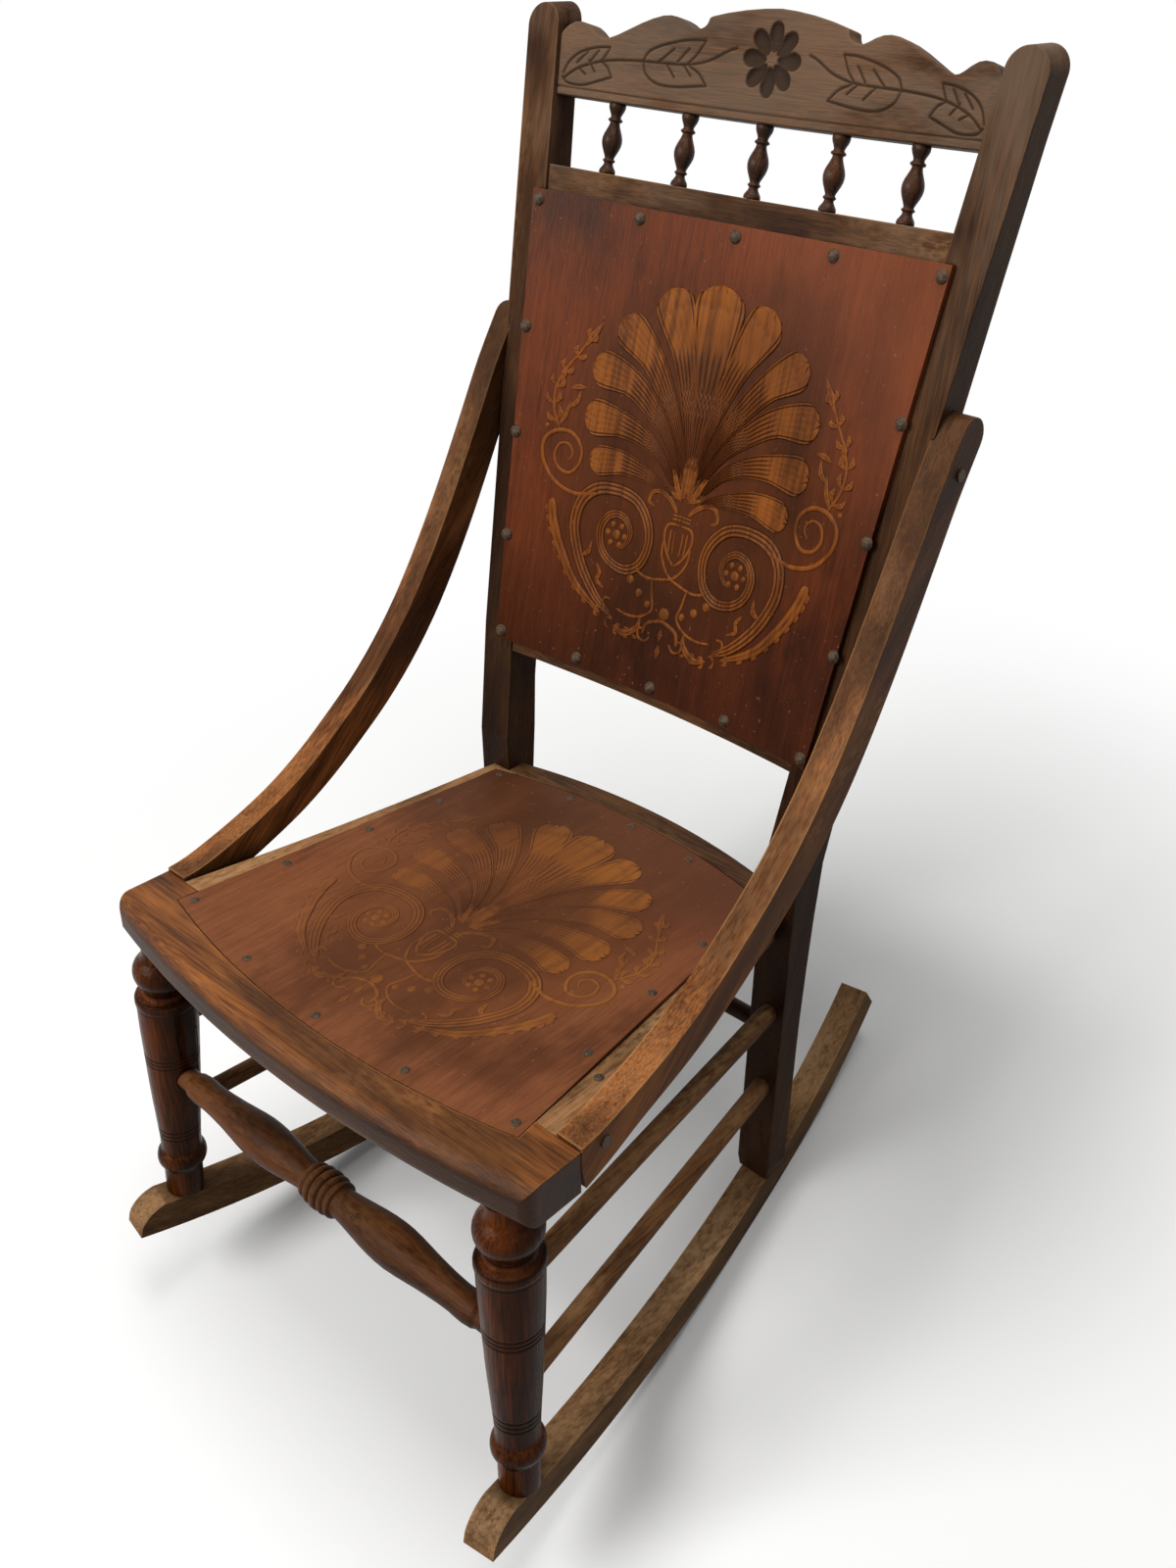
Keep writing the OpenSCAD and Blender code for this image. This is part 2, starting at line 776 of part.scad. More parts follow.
module side_stretcher(upper, grow) {
    front_z = upper ? upper_side_z : lower_side_front_z;
    rear_z = upper ? upper_side_rear_z : lower_side_rear_z;
    inset = (upper ? upper_leg_radius : lower_leg_radius) - stretcher_into_leg;
    front_x = leg_x(front_z);
    front_y = leg_y(front_z);
    rear_y = post_front_y + stretcher_into_post;
    slope_x = (post_x(rear_z) - front_x) / (rear_y - front_y);
    slope_z = (rear_z - front_z) / (rear_y - front_y);
    start = inset - grow;
    stop = rear_y - front_y + grow;
    rod([front_x + slope_x * start, front_y + start, front_z + slope_z * start],
        [front_x + slope_x * stop, front_y + stop, front_z + slope_z * stop],
        side_stretcher_width + 2 * grow);
}

module stretcher_upper_left() {
    color(wood_dark)
        stand()
            mirror([1, 0, 0])
                side_stretcher(true, 0);
}

module stretcher_upper_right() {
    color(wood_dark)
        stand()
            side_stretcher(true, 0);
}

module stretcher_lower_left() {
    color(wood_dark)
        stand()
            mirror([1, 0, 0])
                side_stretcher(false, 0);
}

module stretcher_lower_right() {
    color(wood_dark)
        stand()
            side_stretcher(false, 0);
}

module rear_stretcher_rod(grow) {
    reach = post_x(rear_stretcher_z) - post_width / 2 + stretcher_into_post + grow;
    rod([-reach, rear_stretcher_y, rear_stretcher_z], [reach, rear_stretcher_y, rear_stretcher_z],
        rear_stretcher_width + 2 * grow);
}

module stretcher_rear() {
    color(wood_dark)
        stand()
            rear_stretcher_rod(0);
}

front_reach = leg_x(front_stretcher_z) - middle_leg_radius + stretcher_into_leg;

module front_stretcher_bore() {
    rod([0, leg_y(front_stretcher_z), front_stretcher_z],
        [front_reach + fit, leg_y(front_stretcher_z), front_stretcher_z], front_tip_width + 2 * fit);
}

module stretcher_front() {
    half = front_stretcher_profile;
    tip = front_tip_width / 2;
    mirrored = [for (i = [len(half) - 1:-1:1]) [half[i][0], -half[i][1]]];
    color(wood_dark)
        stand()
            translate([0, leg_y(front_stretcher_z), front_stretcher_z])
                rotate([0, 90, 0])
                    rotate_extrude()
                        polygon(concat([[0, -front_reach], [tip, -front_reach]], mirrored, half,
                            [[tip, front_reach], [0, front_reach]]));
}

// ---- runners ----

// a slice of a great disc between two slopes
module wedge(far, start, stop) {
    polygon([[0, 0], [far * sin(start), -far * cos(start)],
        [far * sin((start + stop) / 2), -far * cos((start + stop) / 2)],
        [far * sin(stop), -far * cos(stop)]]);
}

// a piece of a ring, as drawn by a runner's underside and top between two slopes
module runner_sweep(radius, start, stop, slimmer = 0) {
    intersection() {
        difference() {
            circle(r = radius - slimmer, $fn = fine_arc);
            circle(r = radius - runner_height + slimmer, $fn = fine_arc);
        }
        wedge(far_share * radius, start, stop);
    }
}

module runner_side_view() {
    start = asin((runner_front_end - runner_arc_y) / cos(runner_toe) / runner_radius);
    join = asin((runner_join_y - runner_arc_y) / cos(runner_toe) / runner_radius);
    shift = runner_radius - runner_tail_radius;
    tail_y = shift * sin(join);
    stop = asin(((runner_rear_end - runner_arc_y) / cos(runner_toe) - tail_y) / runner_tail_radius);
    nose = runner_height - runner_nose_drop;
    turn = asin(nose / runner_radius);
    // the toe's upper corner is rounded off
    intersection() {
        runner_sweep(runner_radius, start, join);
        union() {
            wedge(far_share * runner_radius, start + turn, join + join_overlap);
            translate((runner_radius - runner_nose_drop) * [sin(start + turn), -cos(start + turn)])
                circle(r = nose + runner_nose_blend);
        }
    }
    translate([tail_y, -shift * cos(join)])
        runner_sweep(runner_tail_radius, join - join_overlap, stop, tail_slimmer);
}

module runner_body() {
    difference() {
        translate([runner_front_x, runner_front_y, 0])
            rotate([0, 0, runner_toe])
                translate([0, (runner_arc_y - runner_front_y) / cos(runner_toe), runner_arc_z])
                    rotate([90, 0, 90])
                        translate([0, 0, -runner_width / 2])
                            linear_extrude(height = runner_width)
                                runner_side_view();
        leg_foot_pin(fit);
        post_pin(fit);
    }
}

module rocker_left() {
    color(wood_dark)
        stand()
            mirror([1, 0, 0])
                runner_body();
}

module rocker_right() {
    color(wood_dark)
        stand()
            runner_body();
}

// ---- back ----

upper_rail_v = (upper_rail_bottom + upper_rail_top) / 2;
lower_rail_v = (lower_rail_bottom + lower_rail_top) / 2;

module back_nail_bores() {
    both()
        for (n = back_nails)
            on_panel(n[0], n[1])
                translate([0, 0, -back_shank_length - fit])
                    cylinder(d = back_shank + 2 * fit, h = back_shank_length + over);
}

module back_panel_nails() {
    color(iron)
        stand()
            back_frame()
                for (n = back_nails) {
                    on_panel(n[0], n[1])
                        domed_nail(back_head, back_head_rise, back_shank, back_shank_length);
                    if (n[0] > 0)
                        on_panel(-n[0], n[1])
                            domed_nail(back_head, back_head_rise, back_shank, back_shank_length);
                }
}

// the back panel, with room added in front of it and grown by a gap elsewhere
module panel_slab(room, grow) {
    low = back_panel_bottom - grow;
    high = back_panel_top + grow;
    low_x = back_panel_half_bottom + grow;
    high_x = back_panel_half_top + grow;
    intersection() {
        bowed(panel_front_w - room, back_bow - room, room + back_panel_thickness + grow, low, high);
        translate([0, deep, 0])
            rotate([90, 0, 0])
                linear_extrude(height = 2 * deep)
                    polygon([[-low_x, low], [low_x, low], [high_x, high], [-high_x, high]]);
    }
}

module back_panel() {
    color(panel_red)
        stand()
            back_frame()
                difference() {
                    panel_slab(0, 0);
                    back_nail_bores();
                }
}

module back_tenons(v, w, height, width, length, grow) {
    inner = post_x(v * cos(back_rake)) - post_width / 2;
    both()
        translate([inner - 2 * over, w - width / 2 - grow, v - height / 2 - grow])
            cube([length + 2 * over + grow, width + 2 * grow, height + 2 * grow]);
}

module rail_tenons(v, w, grow) {
    back_tenons(v, w, back_tenon_height, back_tenon_width, back_tenon_length, grow);
}

module crest_tenons(grow) {
    back_tenons(crest_tenon_v, crest_tenon_w, crest_tenon_height, crest_tenon_width,
        crest_tenon_length, grow);
}

module back_rail(low, high) {
    intersection() {
        back_frame()
            bowed(rail_front_w, rail_bow, back_rail_thickness, low, high);
        between_posts(fit);
    }
}

module back_upper_rail() {
    color(wood_dark)
        stand()
            difference() {
                union() {
                    back_rail(upper_rail_bottom, upper_rail_top);
                    back_frame()
                        rail_tenons(upper_rail_v, upper_tenon_w, 0);
                }
                back_frame() {
                    back_nail_bores();
                    spindle_sockets();
                }
            }
}

module back_lower_rail() {
    color(wood_dark)
        stand()
            difference() {
                union() {
                    back_rail(lower_rail_bottom, lower_rail_top);
                    back_frame()
                        rail_tenons(lower_rail_v, lower_tenon_w, 0);
                }
                back_frame()
                    back_nail_bores();
            }
}

module crest_front_view() {
    count = len(crest_right);
    end = crest_right[count - 1][0];
    polygon(concat([[-end, crest_bottom], [end, crest_bottom]],
        [for (i = [count - 1:-1:0]) crest_right[i]],
        [for (i = [1:count - 1]) [-crest_right[i][0], crest_right[i][1]]]));
}

module crest_rail() {
    top = crest_bottom + crest_room;
    color(wood_dark)
        stand() {
            difference() {
                intersection() {
                    back_frame()
                        bowed(crest_front_w, crest_bow, crest_thickness, crest_bottom, top);
                    back_frame()
                        translate([0, deep, 0])
                            rotate([90, 0, 0])
                                linear_extrude(height = 2 * deep)
                                    crest_front_view();
                    between_posts(fit);
                }
                back_frame() {
                    spindle_sockets();
                    bowed(crest_front_w - over, crest_bow - over, over + crest_line_cut,
                        crest_line_low, crest_line_low + crest_line_width);
                }
            }
            back_frame()
                crest_tenons(0);
        }
}

module spindle_sockets() {
    for (i = [-2:2])
        translate([i * spindle_pitch, bow_w(spindle_w, crest_bow, i * spindle_pitch),
            upper_rail_top - spindle_tip_length - fit])
            cylinder(d = spindle_tip + 2 * fit,
                h = crest_bottom - upper_rail_top + 2 * spindle_tip_length + 2 * fit);
}

module spindle(i) {
    tip = spindle_tip / 2;
    high = crest_bottom - upper_rail_top;
    color(wood_dark)
        stand()
            back_frame()
                translate([i * spindle_pitch, bow_w(spindle_w, crest_bow, i * spindle_pitch),
                    upper_rail_top])
                    rotate_extrude()
                        polygon(concat([[0, -spindle_tip_length], [tip, -spindle_tip_length], [tip, fit]],
                            spindle_profile, [[tip, high - fit], [tip, high + spindle_tip_length],
                            [0, high + spindle_tip_length]]));
}

module spindle_1() {
    spindle(-2);
}

module spindle_2() {
    spindle(-1);
}

module spindle_3() {
    spindle(0);
}

module spindle_4() {
    spindle(1);
}

module spindle_5() {
    spindle(2);
}

// ---- arms ----

// a smooth line through the points of a list
function at(list, i) = list[max(0, min(len(list) - 1, i))];
function between(a, b, c, d, t) = b + t * (c - a + t * (2 * a - 5 * b + 4 * c - d
    + t * (3 * b - a - 3 * c + d))) / 2;
function smooth(list) = concat([for (i = [0:len(list) - 2]) for (k = [0:arm_steps - 1])
    between(at(list, i - 1), list[i], list[i + 1], at(list, i + 2), k / arm_steps)],
    [list[len(list) - 1]]);
function way(list, i) = at(list, i + 1) - at(list, i - 1);
function across(list, i) = [-way(list, i)[1], way(list, i)[0]] / norm(way(list, i));

module arm_side_view(grow) {
    line = smooth(arm_line);
    half = smooth(arm_half);
    count = len(line);
    tip = line[count - 1];
    tip_half = half[count - 1] + grow;
    heading = atan2(way(line, count - 1)[1], way(line, count - 1)[0]);
    polygon(concat([for (i = [0:count - 1]) line[i] + across(line, i) * (half[i] + grow)],
        [for (a = [90 - arm_end_turn:-arm_end_turn:arm_end_turn - 90])
            tip + tip_half * [cos(heading + a), sin(heading + a)]],
        [for (i = [count - 1:-1:0]) line[i] - across(line, i) * (half[i] + grow)]));
}

module arm_solid(grow) {
    translate([arm_inner_x - grow, 0, 0])
        rotate([0, arm_lean, 0])
            rotate([90, 0, 90])
                linear_extrude(height = arm_thickness)
                    arm_side_view(grow);
}

function arm_face(z) = arm_inner_x + z * tan(arm_lean) + arm_thickness / cos(arm_lean);

module arm_screw_bore(p) {
    translate([arm_face(p[1]) - arm_screw_length, p[0], p[1]])
        rotate([0, 90, 0])
            cylinder(d = arm_screw_shank + 2 * fit, h = arm_screw_length + over);
}

module arm_body() {
    difference() {
        arm_solid(0);
        translate([0, side_front_y - deep + fit, -deep / 2])
            cube([deep, deep, deep]);
        arm_screw_bore(arm_top_screw);
        arm_screw_bore(arm_foot_screw);
    }
}

module arm_left() {
    color(wood_dark)
        stand()
            mirror([1, 0, 0])
                arm_body();
}

module arm_right() {
    color(wood_dark)
        stand()
            arm_body();
}

module arm_screw(p) {
    translate([arm_face(p[1]) + fit, p[0], p[1]])
        rotate([0, 90, 0]) {
            cylinder(d = arm_screw_head, h = arm_screw_rise);
            translate([0, 0, -arm_screw_length])
                cylinder(d = arm_screw_shank, h = arm_screw_length + fit);
        }
}

module arm_top_screws() {
    color(iron)
        stand()
            both()
                arm_screw(arm_top_screw);
}

module arm_foot_screws() {
    color(iron)
        stand()
            both()
                arm_screw(arm_foot_screw);
}

rocker_left();
rocker_right();
front_leg_left();
front_leg_right();
rear_post_left();
rear_post_right();
stretcher_front();
stretcher_rear();
stretcher_upper_left();
stretcher_upper_right();
stretcher_lower_left();
stretcher_lower_right();
seat_front_rail();
seat_side_rail_left();
seat_side_rail_right();
seat_rear_rail();
seat_panel();
seat_panel_nails();
back_lower_rail();
back_upper_rail();
back_panel();
back_panel_nails();
crest_rail();
spindle_1();
spindle_2();
spindle_3();
spindle_4();
spindle_5();
arm_left();
arm_right();
arm_top_screws();
arm_foot_screws();
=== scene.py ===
from math import cos, pi, radians, sin

import bpy
import numpy as np
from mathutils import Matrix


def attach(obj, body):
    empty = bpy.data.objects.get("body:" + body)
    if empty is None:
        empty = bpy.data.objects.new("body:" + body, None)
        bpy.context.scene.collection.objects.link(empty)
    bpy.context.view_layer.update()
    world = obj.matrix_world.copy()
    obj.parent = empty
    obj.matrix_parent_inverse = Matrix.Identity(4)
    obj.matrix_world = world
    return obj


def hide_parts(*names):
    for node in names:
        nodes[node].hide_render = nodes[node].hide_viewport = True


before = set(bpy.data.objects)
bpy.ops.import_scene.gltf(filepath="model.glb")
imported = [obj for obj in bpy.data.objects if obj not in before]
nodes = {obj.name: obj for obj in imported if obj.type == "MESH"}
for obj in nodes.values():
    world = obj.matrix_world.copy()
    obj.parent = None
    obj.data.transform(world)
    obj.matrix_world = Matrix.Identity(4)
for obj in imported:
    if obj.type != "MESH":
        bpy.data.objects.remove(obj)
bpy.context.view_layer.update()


# ---- Runners ------------------------------------------------------------------------------------
# Two bent hardwood runners, pegged under the legs and the posts. The old finish is worn off
# and floor dust has greyed the wood. The grain follows the bend.

seat_lean = 12  # degrees that the standing chair leans back


class Wire:
    """One output of a shader node. Arithmetic on wires becomes Math nodes."""

    def __init__(self, tree, socket):
        self.tree, self.socket = tree, socket

    def math(self, operation, *others):
        """One Math node on this wire and any others."""
        node = self.tree.nodes.new("ShaderNodeMath")
        node.operation = operation
        for socket, value in zip(node.inputs, (self,) + others):
            join(self.tree, socket, value)
        return Wire(self.tree, node.outputs[0])

    def __add__(self, other):
        return self.math("ADD", other)

    def __sub__(self, other):
        return self.math("SUBTRACT", other)

    def __rsub__(self, other):
        return (self * -1.0).math("ADD", other)

    def __mul__(self, other):
        return self.math("MULTIPLY", other)

    __radd__, __rmul__ = __add__, __mul__

    def over(self, other):
        """The larger of two."""
        return self.math("MAXIMUM", other)

    def ramp(self, low, high, start=0.0, end=1.0):
        """Goes smoothly from start to end while the wire goes from low to high."""
        node = self.tree.nodes.new("ShaderNodeMapRange")
        node.interpolation_type = "SMOOTHSTEP"
        for socket, value in zip(node.inputs, (self, low, high, start, end)):
            join(self.tree, socket, value)
        return Wire(self.tree, node.outputs[0])


def join(tree, socket, value):
    """Puts a wire, a number or a colour into a socket."""
    if isinstance(value, Wire):
        tree.links.new(value.socket, socket)
    else:
        socket.default_value = value


def blend(tree, share, first, second):
    """A colour that goes from the first to the second with share."""
    node = tree.nodes.new("ShaderNodeMix")
    node.data_type = "RGBA"
    for socket, value in zip((node.inputs[0], node.inputs[6], node.inputs[7]),
                             (share, first, second)):
        join(tree, socket, value)
    return Wire(tree, node.outputs[2])


class Finish:
    """A surface finish being mixed: its shader, and one method that adds any other node."""

    def __init__(self, name, **fixed):
        self.material = bpy.data.materials.new(name)
        self.material.use_nodes = True
        self.tree = self.material.node_tree
        self.shader = self.tree.nodes["Principled BSDF"]
        for label, value in fixed.items():
            self.shader.inputs[label.replace("_", " ")].default_value = value

    def node(self, kind, *values, out=0, **settings):
        """Adds a node with its settings, fills its sockets in order and gives one output."""
        node = self.tree.nodes.new("ShaderNode" + kind)
        for label, value in settings.items():
            setattr(node, label, value)
        for socket, value in zip(node.inputs, values):
            if value is not None:
                join(self.tree, socket, value)
        return Wire(self.tree, node.outputs[out])

    def blend(self, share, first, second):
        """A blend of two colours among this finish's nodes."""
        return blend(self.tree, share, first, second)

    def axis(self, vector, index):
        """One of the three parts of a vector."""
        return self.node("SeparateXYZ", vector, out=index)

    def turned(self, angle, shift=(0.0, 0.0, 0.0)):
        """Object coordinates, turned about the chair's width by angle degrees, then shifted."""
        place = self.node("TexCoord", out=3)
        return self.node("Mapping", place, shift, (radians(angle), 0.0, 0.0))

    def along(self, angle, order):
        """Turned object coordinates whose axes, if an order is given, change places."""
        place = self.turned(angle)
        if not order:
            return place
        return self.node("CombineXYZ", *[self.axis(place, i) for i in order])

    def noise(self, place, cells, detail, rough):
        """Cloudy noise from 0 to 1 around 0.5, with so many cells to the metre: one number for
        all three axes, or one for each."""
        if isinstance(cells, tuple):
            place, cells = self.node("Mapping", place, None, None, cells), 1.0
        return self.node("TexNoise", place, None, cells, detail, rough)

    def relief(self, height, metres, normal=None):
        """A surface normal that follows a height, metres deep, laid on another normal."""
        node = self.tree.nodes.new("ShaderNodeBump")
        node.inputs["Strength"].default_value = 1.0
        node.inputs["Distance"].default_value = metres
        join(self.tree, node.inputs["Height"], height)
        if normal is not None:
            join(self.tree, node.inputs["Normal"], normal)
        return Wire(self.tree, node.outputs[0])

    def lay(self, colour, roughness, normal):
        """Puts the mixed colour, roughness and normal into the shader."""
        for label, value in (("Base Color", colour), ("Roughness", roughness),
                             ("Normal", normal)):
            join(self.tree, self.shader.inputs[label], value)

    def on(self, *names):
        """Gives the finish to the nodes named."""
        for name in names:
            nodes[name].material_slots[0].material = self.material


def paint(red, green, blue):
    """The shader's linear colour of a paint chip given from 0 to 255."""
    chip = np.array((red, green, blue)) / 255.0
    linear = np.where(chip > 0.04045, ((chip + 0.055) / 1.055) ** 2.4, chip / 12.92)
    return (*linear.tolist(), 1.0)


# old finish; the second colour is painted shade; the third, a grey film, is partly painted sheen
old_finish, painted_shade_colour, grey_film_and_sheen = paint(27, 13, 6), paint(22, 10, 4), paint(104, 90, 78)
rubbed_width = 0.0022  # metres that wear reaches in from an edge
corner_reach = 0.03  # metres within which a nearby surface casts painted shade
ring_groove = (0.0016, 0.0006)  # metres from a turned ring where its painted shade starts and is full
pore_depth = 0.0007  # metres
dullest = 0.95  # the highest roughness


def board(finish, place, dark, light, worn, dust, dusty=0.5, wear=0.6, gloss=0.5, grain=1.0,
          old=0.6, under=0.5, turning=(0.50, -0.25), sheltered=None, faded=None, rings=()):
    """Sawn and stained wood whose third axis runs along the grain: slow bands, long pores,
    short flecks, dark patches of old finish, edges rubbed bare and dust where a face looks up.
    Painted shade darkens corners and carved cuts, turned rings, faces that turn away from the
    sky and, if a span of heights is given, the heights named. If another span is given, a grey
    film that is partly weathering and partly painted sheen covers those heights."""
    bands = finish.noise(place, (70 * grain, 70 * grain, 6), 5.0, 0.65)
    pores = finish.noise(place, (800 * grain, 800 * grain, 26), 2.0, 0.6)
    flecks = finish.noise(place, (260, 260, 120), 2.0, 0.5)
    clouds = finish.noise(place, (13, 13, 6), 3.0, 0.6)
    kept = finish.noise(place, (16, 16, 4), 4.0, 0.65)
    tone = bands * 0.45 + pores * 0.5 + clouds * 0.4
    colour = finish.blend(tone.ramp(0.48, 0.88), dark, light)
    colour = finish.blend(kept.ramp(0.56, 0.40) * old, colour, old_finish)
    rounded = finish.node("Bevel", rubbed_width, samples=6)
    flat = finish.node("NewGeometry", out=1)
    corner = finish.node("VectorMath", rounded, flat, out=1, operation="DOT_PRODUCT")
    rubbed = (1.0 - corner).ramp(0.004, 0.10) * clouds.ramp(0.36, 0.56)
    patches = clouds.ramp(0.56, 0.76) * flecks.ramp(0.40, 0.62) * 0.6
    colour = finish.blend(rubbed.over(patches) * wear, colour, worn)
    upward = finish.axis(flat, 2)
    settled = upward.ramp(0.15, 0.95) * flecks.ramp(0.30, 0.66) * clouds.ramp(0.30, 0.70) * dusty
    colour = finish.blend(settled, colour, dust)
    # painted shade: darker where the AO node finds nearby surfaces, in carved cuts, on faces
    # turned from the sky, at turned rings and over a span of heights
    open_air = finish.node("AmbientOcclusion", None, corner_reach, samples=4, out=1)
    carved = finish.axis(finish.node("Attribute", attribute_name="note", out=1), 2)
    painted_shade = (open_air.ramp(0.80, 0.30) * 0.85).over(carved * 0.8)
    painted_shade = painted_shade.over(upward.ramp(*turning) * under)
    for ring in rings:
        near = (finish.axis(place, 2) - ring).math("ABSOLUTE")
        painted_shade = painted_shade.over(near.ramp(*ring_groove) * 0.85)
    height = finish.axis(finish.node("TexCoord", out=3), 2)
    if sheltered:
        painted_shade = painted_shade.over(height.ramp(*sheltered) * 0.62)
    # a grey film over a span of heights, partly weathering and partly painted sheen
    if faded:
        film_and_sheen = height.ramp(*faded) * kept.ramp(0.42, 0.64) * 0.5
        colour = finish.blend(film_and_sheen, colour, grey_film_and_sheen)
    colour = finish.blend(painted_shade, colour, painted_shade_colour)
    roughness = pores * 0.2 + settled * 0.4 + rubbed * 0.15 + gloss
    finish.lay(colour, roughness.math("MINIMUM", dullest),
               finish.relief(pores * 0.6 + bands * 0.4, pore_depth, rounded))


bend_ahead, bend_height = 0.01779, 0.83  # metres to the middle that the grain bends round
runner_wood = Finish("runner_wood", Specular_IOR_Level=0.07)
level = runner_wood.turned(seat_lean, (0.0, bend_ahead, 0.0))
across, back = runner_wood.axis(level, 0), runner_wood.axis(level, 1)
below = bend_height - runner_wood.axis(level, 2)
bend = back.math("ARCTAN2", below) * 0.9
radius = (back * back + below * below).math("SQRT")
board(runner_wood, runner_wood.node("CombineXYZ", across, radius, bend),
      dark=paint(86, 60, 39), light=paint(164, 126, 88), worn=paint(184, 148, 108),
      dust=paint(170, 142, 110), dusty=0.5, wear=0.5, gloss=0.55, old=0.5)
runner_wood.on("rocker_left", "rocker_right")


# ---- Posts, rails and plain stretchers ----------------------------------------------------------
# The long rear posts, the seat frame, the rails behind the back sheet and the round stretchers,
# all hardwood in one dark stain. Above the arms the posts and rails are greyed by a film that is
# partly weathering and partly painted sheen, and painted shade keeps the posts dark below.

back_rake = 14.2  # degrees that the back leans from the seat's square
back_lean = seat_lean + back_rake
x_along, y_along = (1, 2, 0), (0, 2, 1)  # orders that lay the grain across, or front to back


def dark_frame(name, angle, order=None, shine=0.07, **looks):
    """Stained wood with the grain along one way: up a leaning piece, across, or to the back."""
    finish = Finish(name, Specular_IOR_Level=shine)
    board(finish, finish.along(angle, order), **looks)
    return finish


stain = dict(dark=paint(34, 17, 7), light=paint(100, 66, 40), worn=paint(148, 110, 72),
             dust=paint(112, 84, 54))
post_wood = dark_frame("post_wood", back_lean, shine=0.05, **stain, dusty=0.3, wear=0.6,
                       gloss=0.42, sheltered=(0.78, 0.50), faded=(0.60, 0.86))
post_wood.on("rear_post_left", "rear_post_right")
cross_wood = dark_frame("cross_wood", seat_lean, x_along, **stain, dusty=0.6, wear=0.6,
                        gloss=0.42, faded=(0.55, 0.80))
cross_wood.on("stretcher_rear", "back_lower_rail", "back_upper_rail", "seat_rear_rail",
              "crest_rail")
side_wood = dark_frame("side_wood", seat_lean, y_along, dark=paint(84, 54, 33),
                       light=paint(158, 114, 76), worn=paint(170, 130, 88),
                       dust=paint(164, 132, 96), dusty=0.7, wear=0.7, gloss=0.45, under=0.35)
side_wood.on("stretcher_upper_left", "stretcher_upper_right", "stretcher_lower_left",
             "stretcher_lower_right", "seat_side_rail_left", "seat_side_rail_right")


# ---- Turned legs, front stretcher and spindles --------------------------------------------------
# Lathe-turned hardwood with a redder, glossier varnish that sheltered parts have kept.

# heights of the turned rings, where painted shade darkens the grooves
leg_rings = (0.2421, 0.2361, 0.2273, 0.1795, 0.1757, 0.1716, 0.0991, 0.0947, 0.0901, 0.0531)
turned_leg = dark_frame("turned_leg", seat_lean, dark=paint(24, 8, 1), light=paint(106, 52, 14),
                        worn=paint(120, 68, 30), dust=paint(74, 44, 20), shine=0.05,
                        dusty=0.2, wear=0.4, gloss=0.17, grain=0.6, rings=leg_rings)
turned_leg.on("front_leg_left", "front_leg_right")
turned_cross = dark_frame("turned_cross", seat_lean, x_along, dark=paint(40, 20, 8),
                          light=paint(104, 60, 30), worn=paint(136, 92, 54),
                          dust=paint(104, 74, 46), dusty=0.4, wear=0.7, gloss=0.32)
turned_cross.on("stretcher_front")
turned_small = dark_frame("turned_small", back_lean, dark=paint(22, 10, 4),
                          light=paint(78, 46, 26), worn=paint(120, 78, 46),
                          dust=paint(84, 60, 40), shine=0.12, dusty=0.1, wear=0.3, gloss=0.22)
turned_small.on(*[f"spindle_{i}" for i in range(1, 6)])


# ---- Front rail ---------------------------------------------------------------------------------
# A wide board with a bowed, rounded nose. Legs have rubbed the stain off the top, where the
# bare orange-brown wood shows open grain. The front face is darkened with painted shade.

# strong painted shade on the faces that do not look up
nose_wood = dark_frame("nose_wood", seat_lean, x_along, dark=paint(62, 30, 11),
                       light=paint(148, 92, 46), worn=paint(178, 122, 72),
                       dust=paint(136, 100, 64), dusty=0.15, wear=0.8, gloss=0.34, grain=1.2,
                       shine=0.12, under=0.8, turning=(0.94, 0.30))
nose_wood.on("seat_front_rail")


# ---- Arms ---------------------------------------------------------------------------------------
# Sweeping side arms sawn from plank, screwed to post and seat rail. Below they are worn to a
# light orange brown, and above, painted shade, dust and a grey film that is partly painted sheen
# dull them to a dark grey tan.

arm_slope = 57  # degrees from upright that the grain leans
arm_wood = dark_frame("arm_wood", arm_slope, dark=paint(66, 34, 15), light=paint(156, 100, 55),
                      worn=paint(190, 142, 92), dust=paint(134, 106, 78), dusty=0.3, wear=0.75,
                      gloss=0.40, under=0.2, sheltered=(0.44, 0.64), faded=(0.40, 0.62))
arm_wood.on("arm_left", "arm_right")


# ---- Seat sheet and back sheet ------------------------------------------------------------------
# Pressed plywood, stained red-brown, nailed into the frame. The grain runs from front to back
# on the seat and up the back; the varnish is still shiny on the back and rubbed on the seat.

# the first colour is a painted sheen
painted_sheen, speck = paint(150, 88, 62), paint(150, 116, 84)
round_edge = (0.185, 0.125)  # metres from the ornament's middle where its browner round fades
sheet_pores = 0.0002  # metres deep


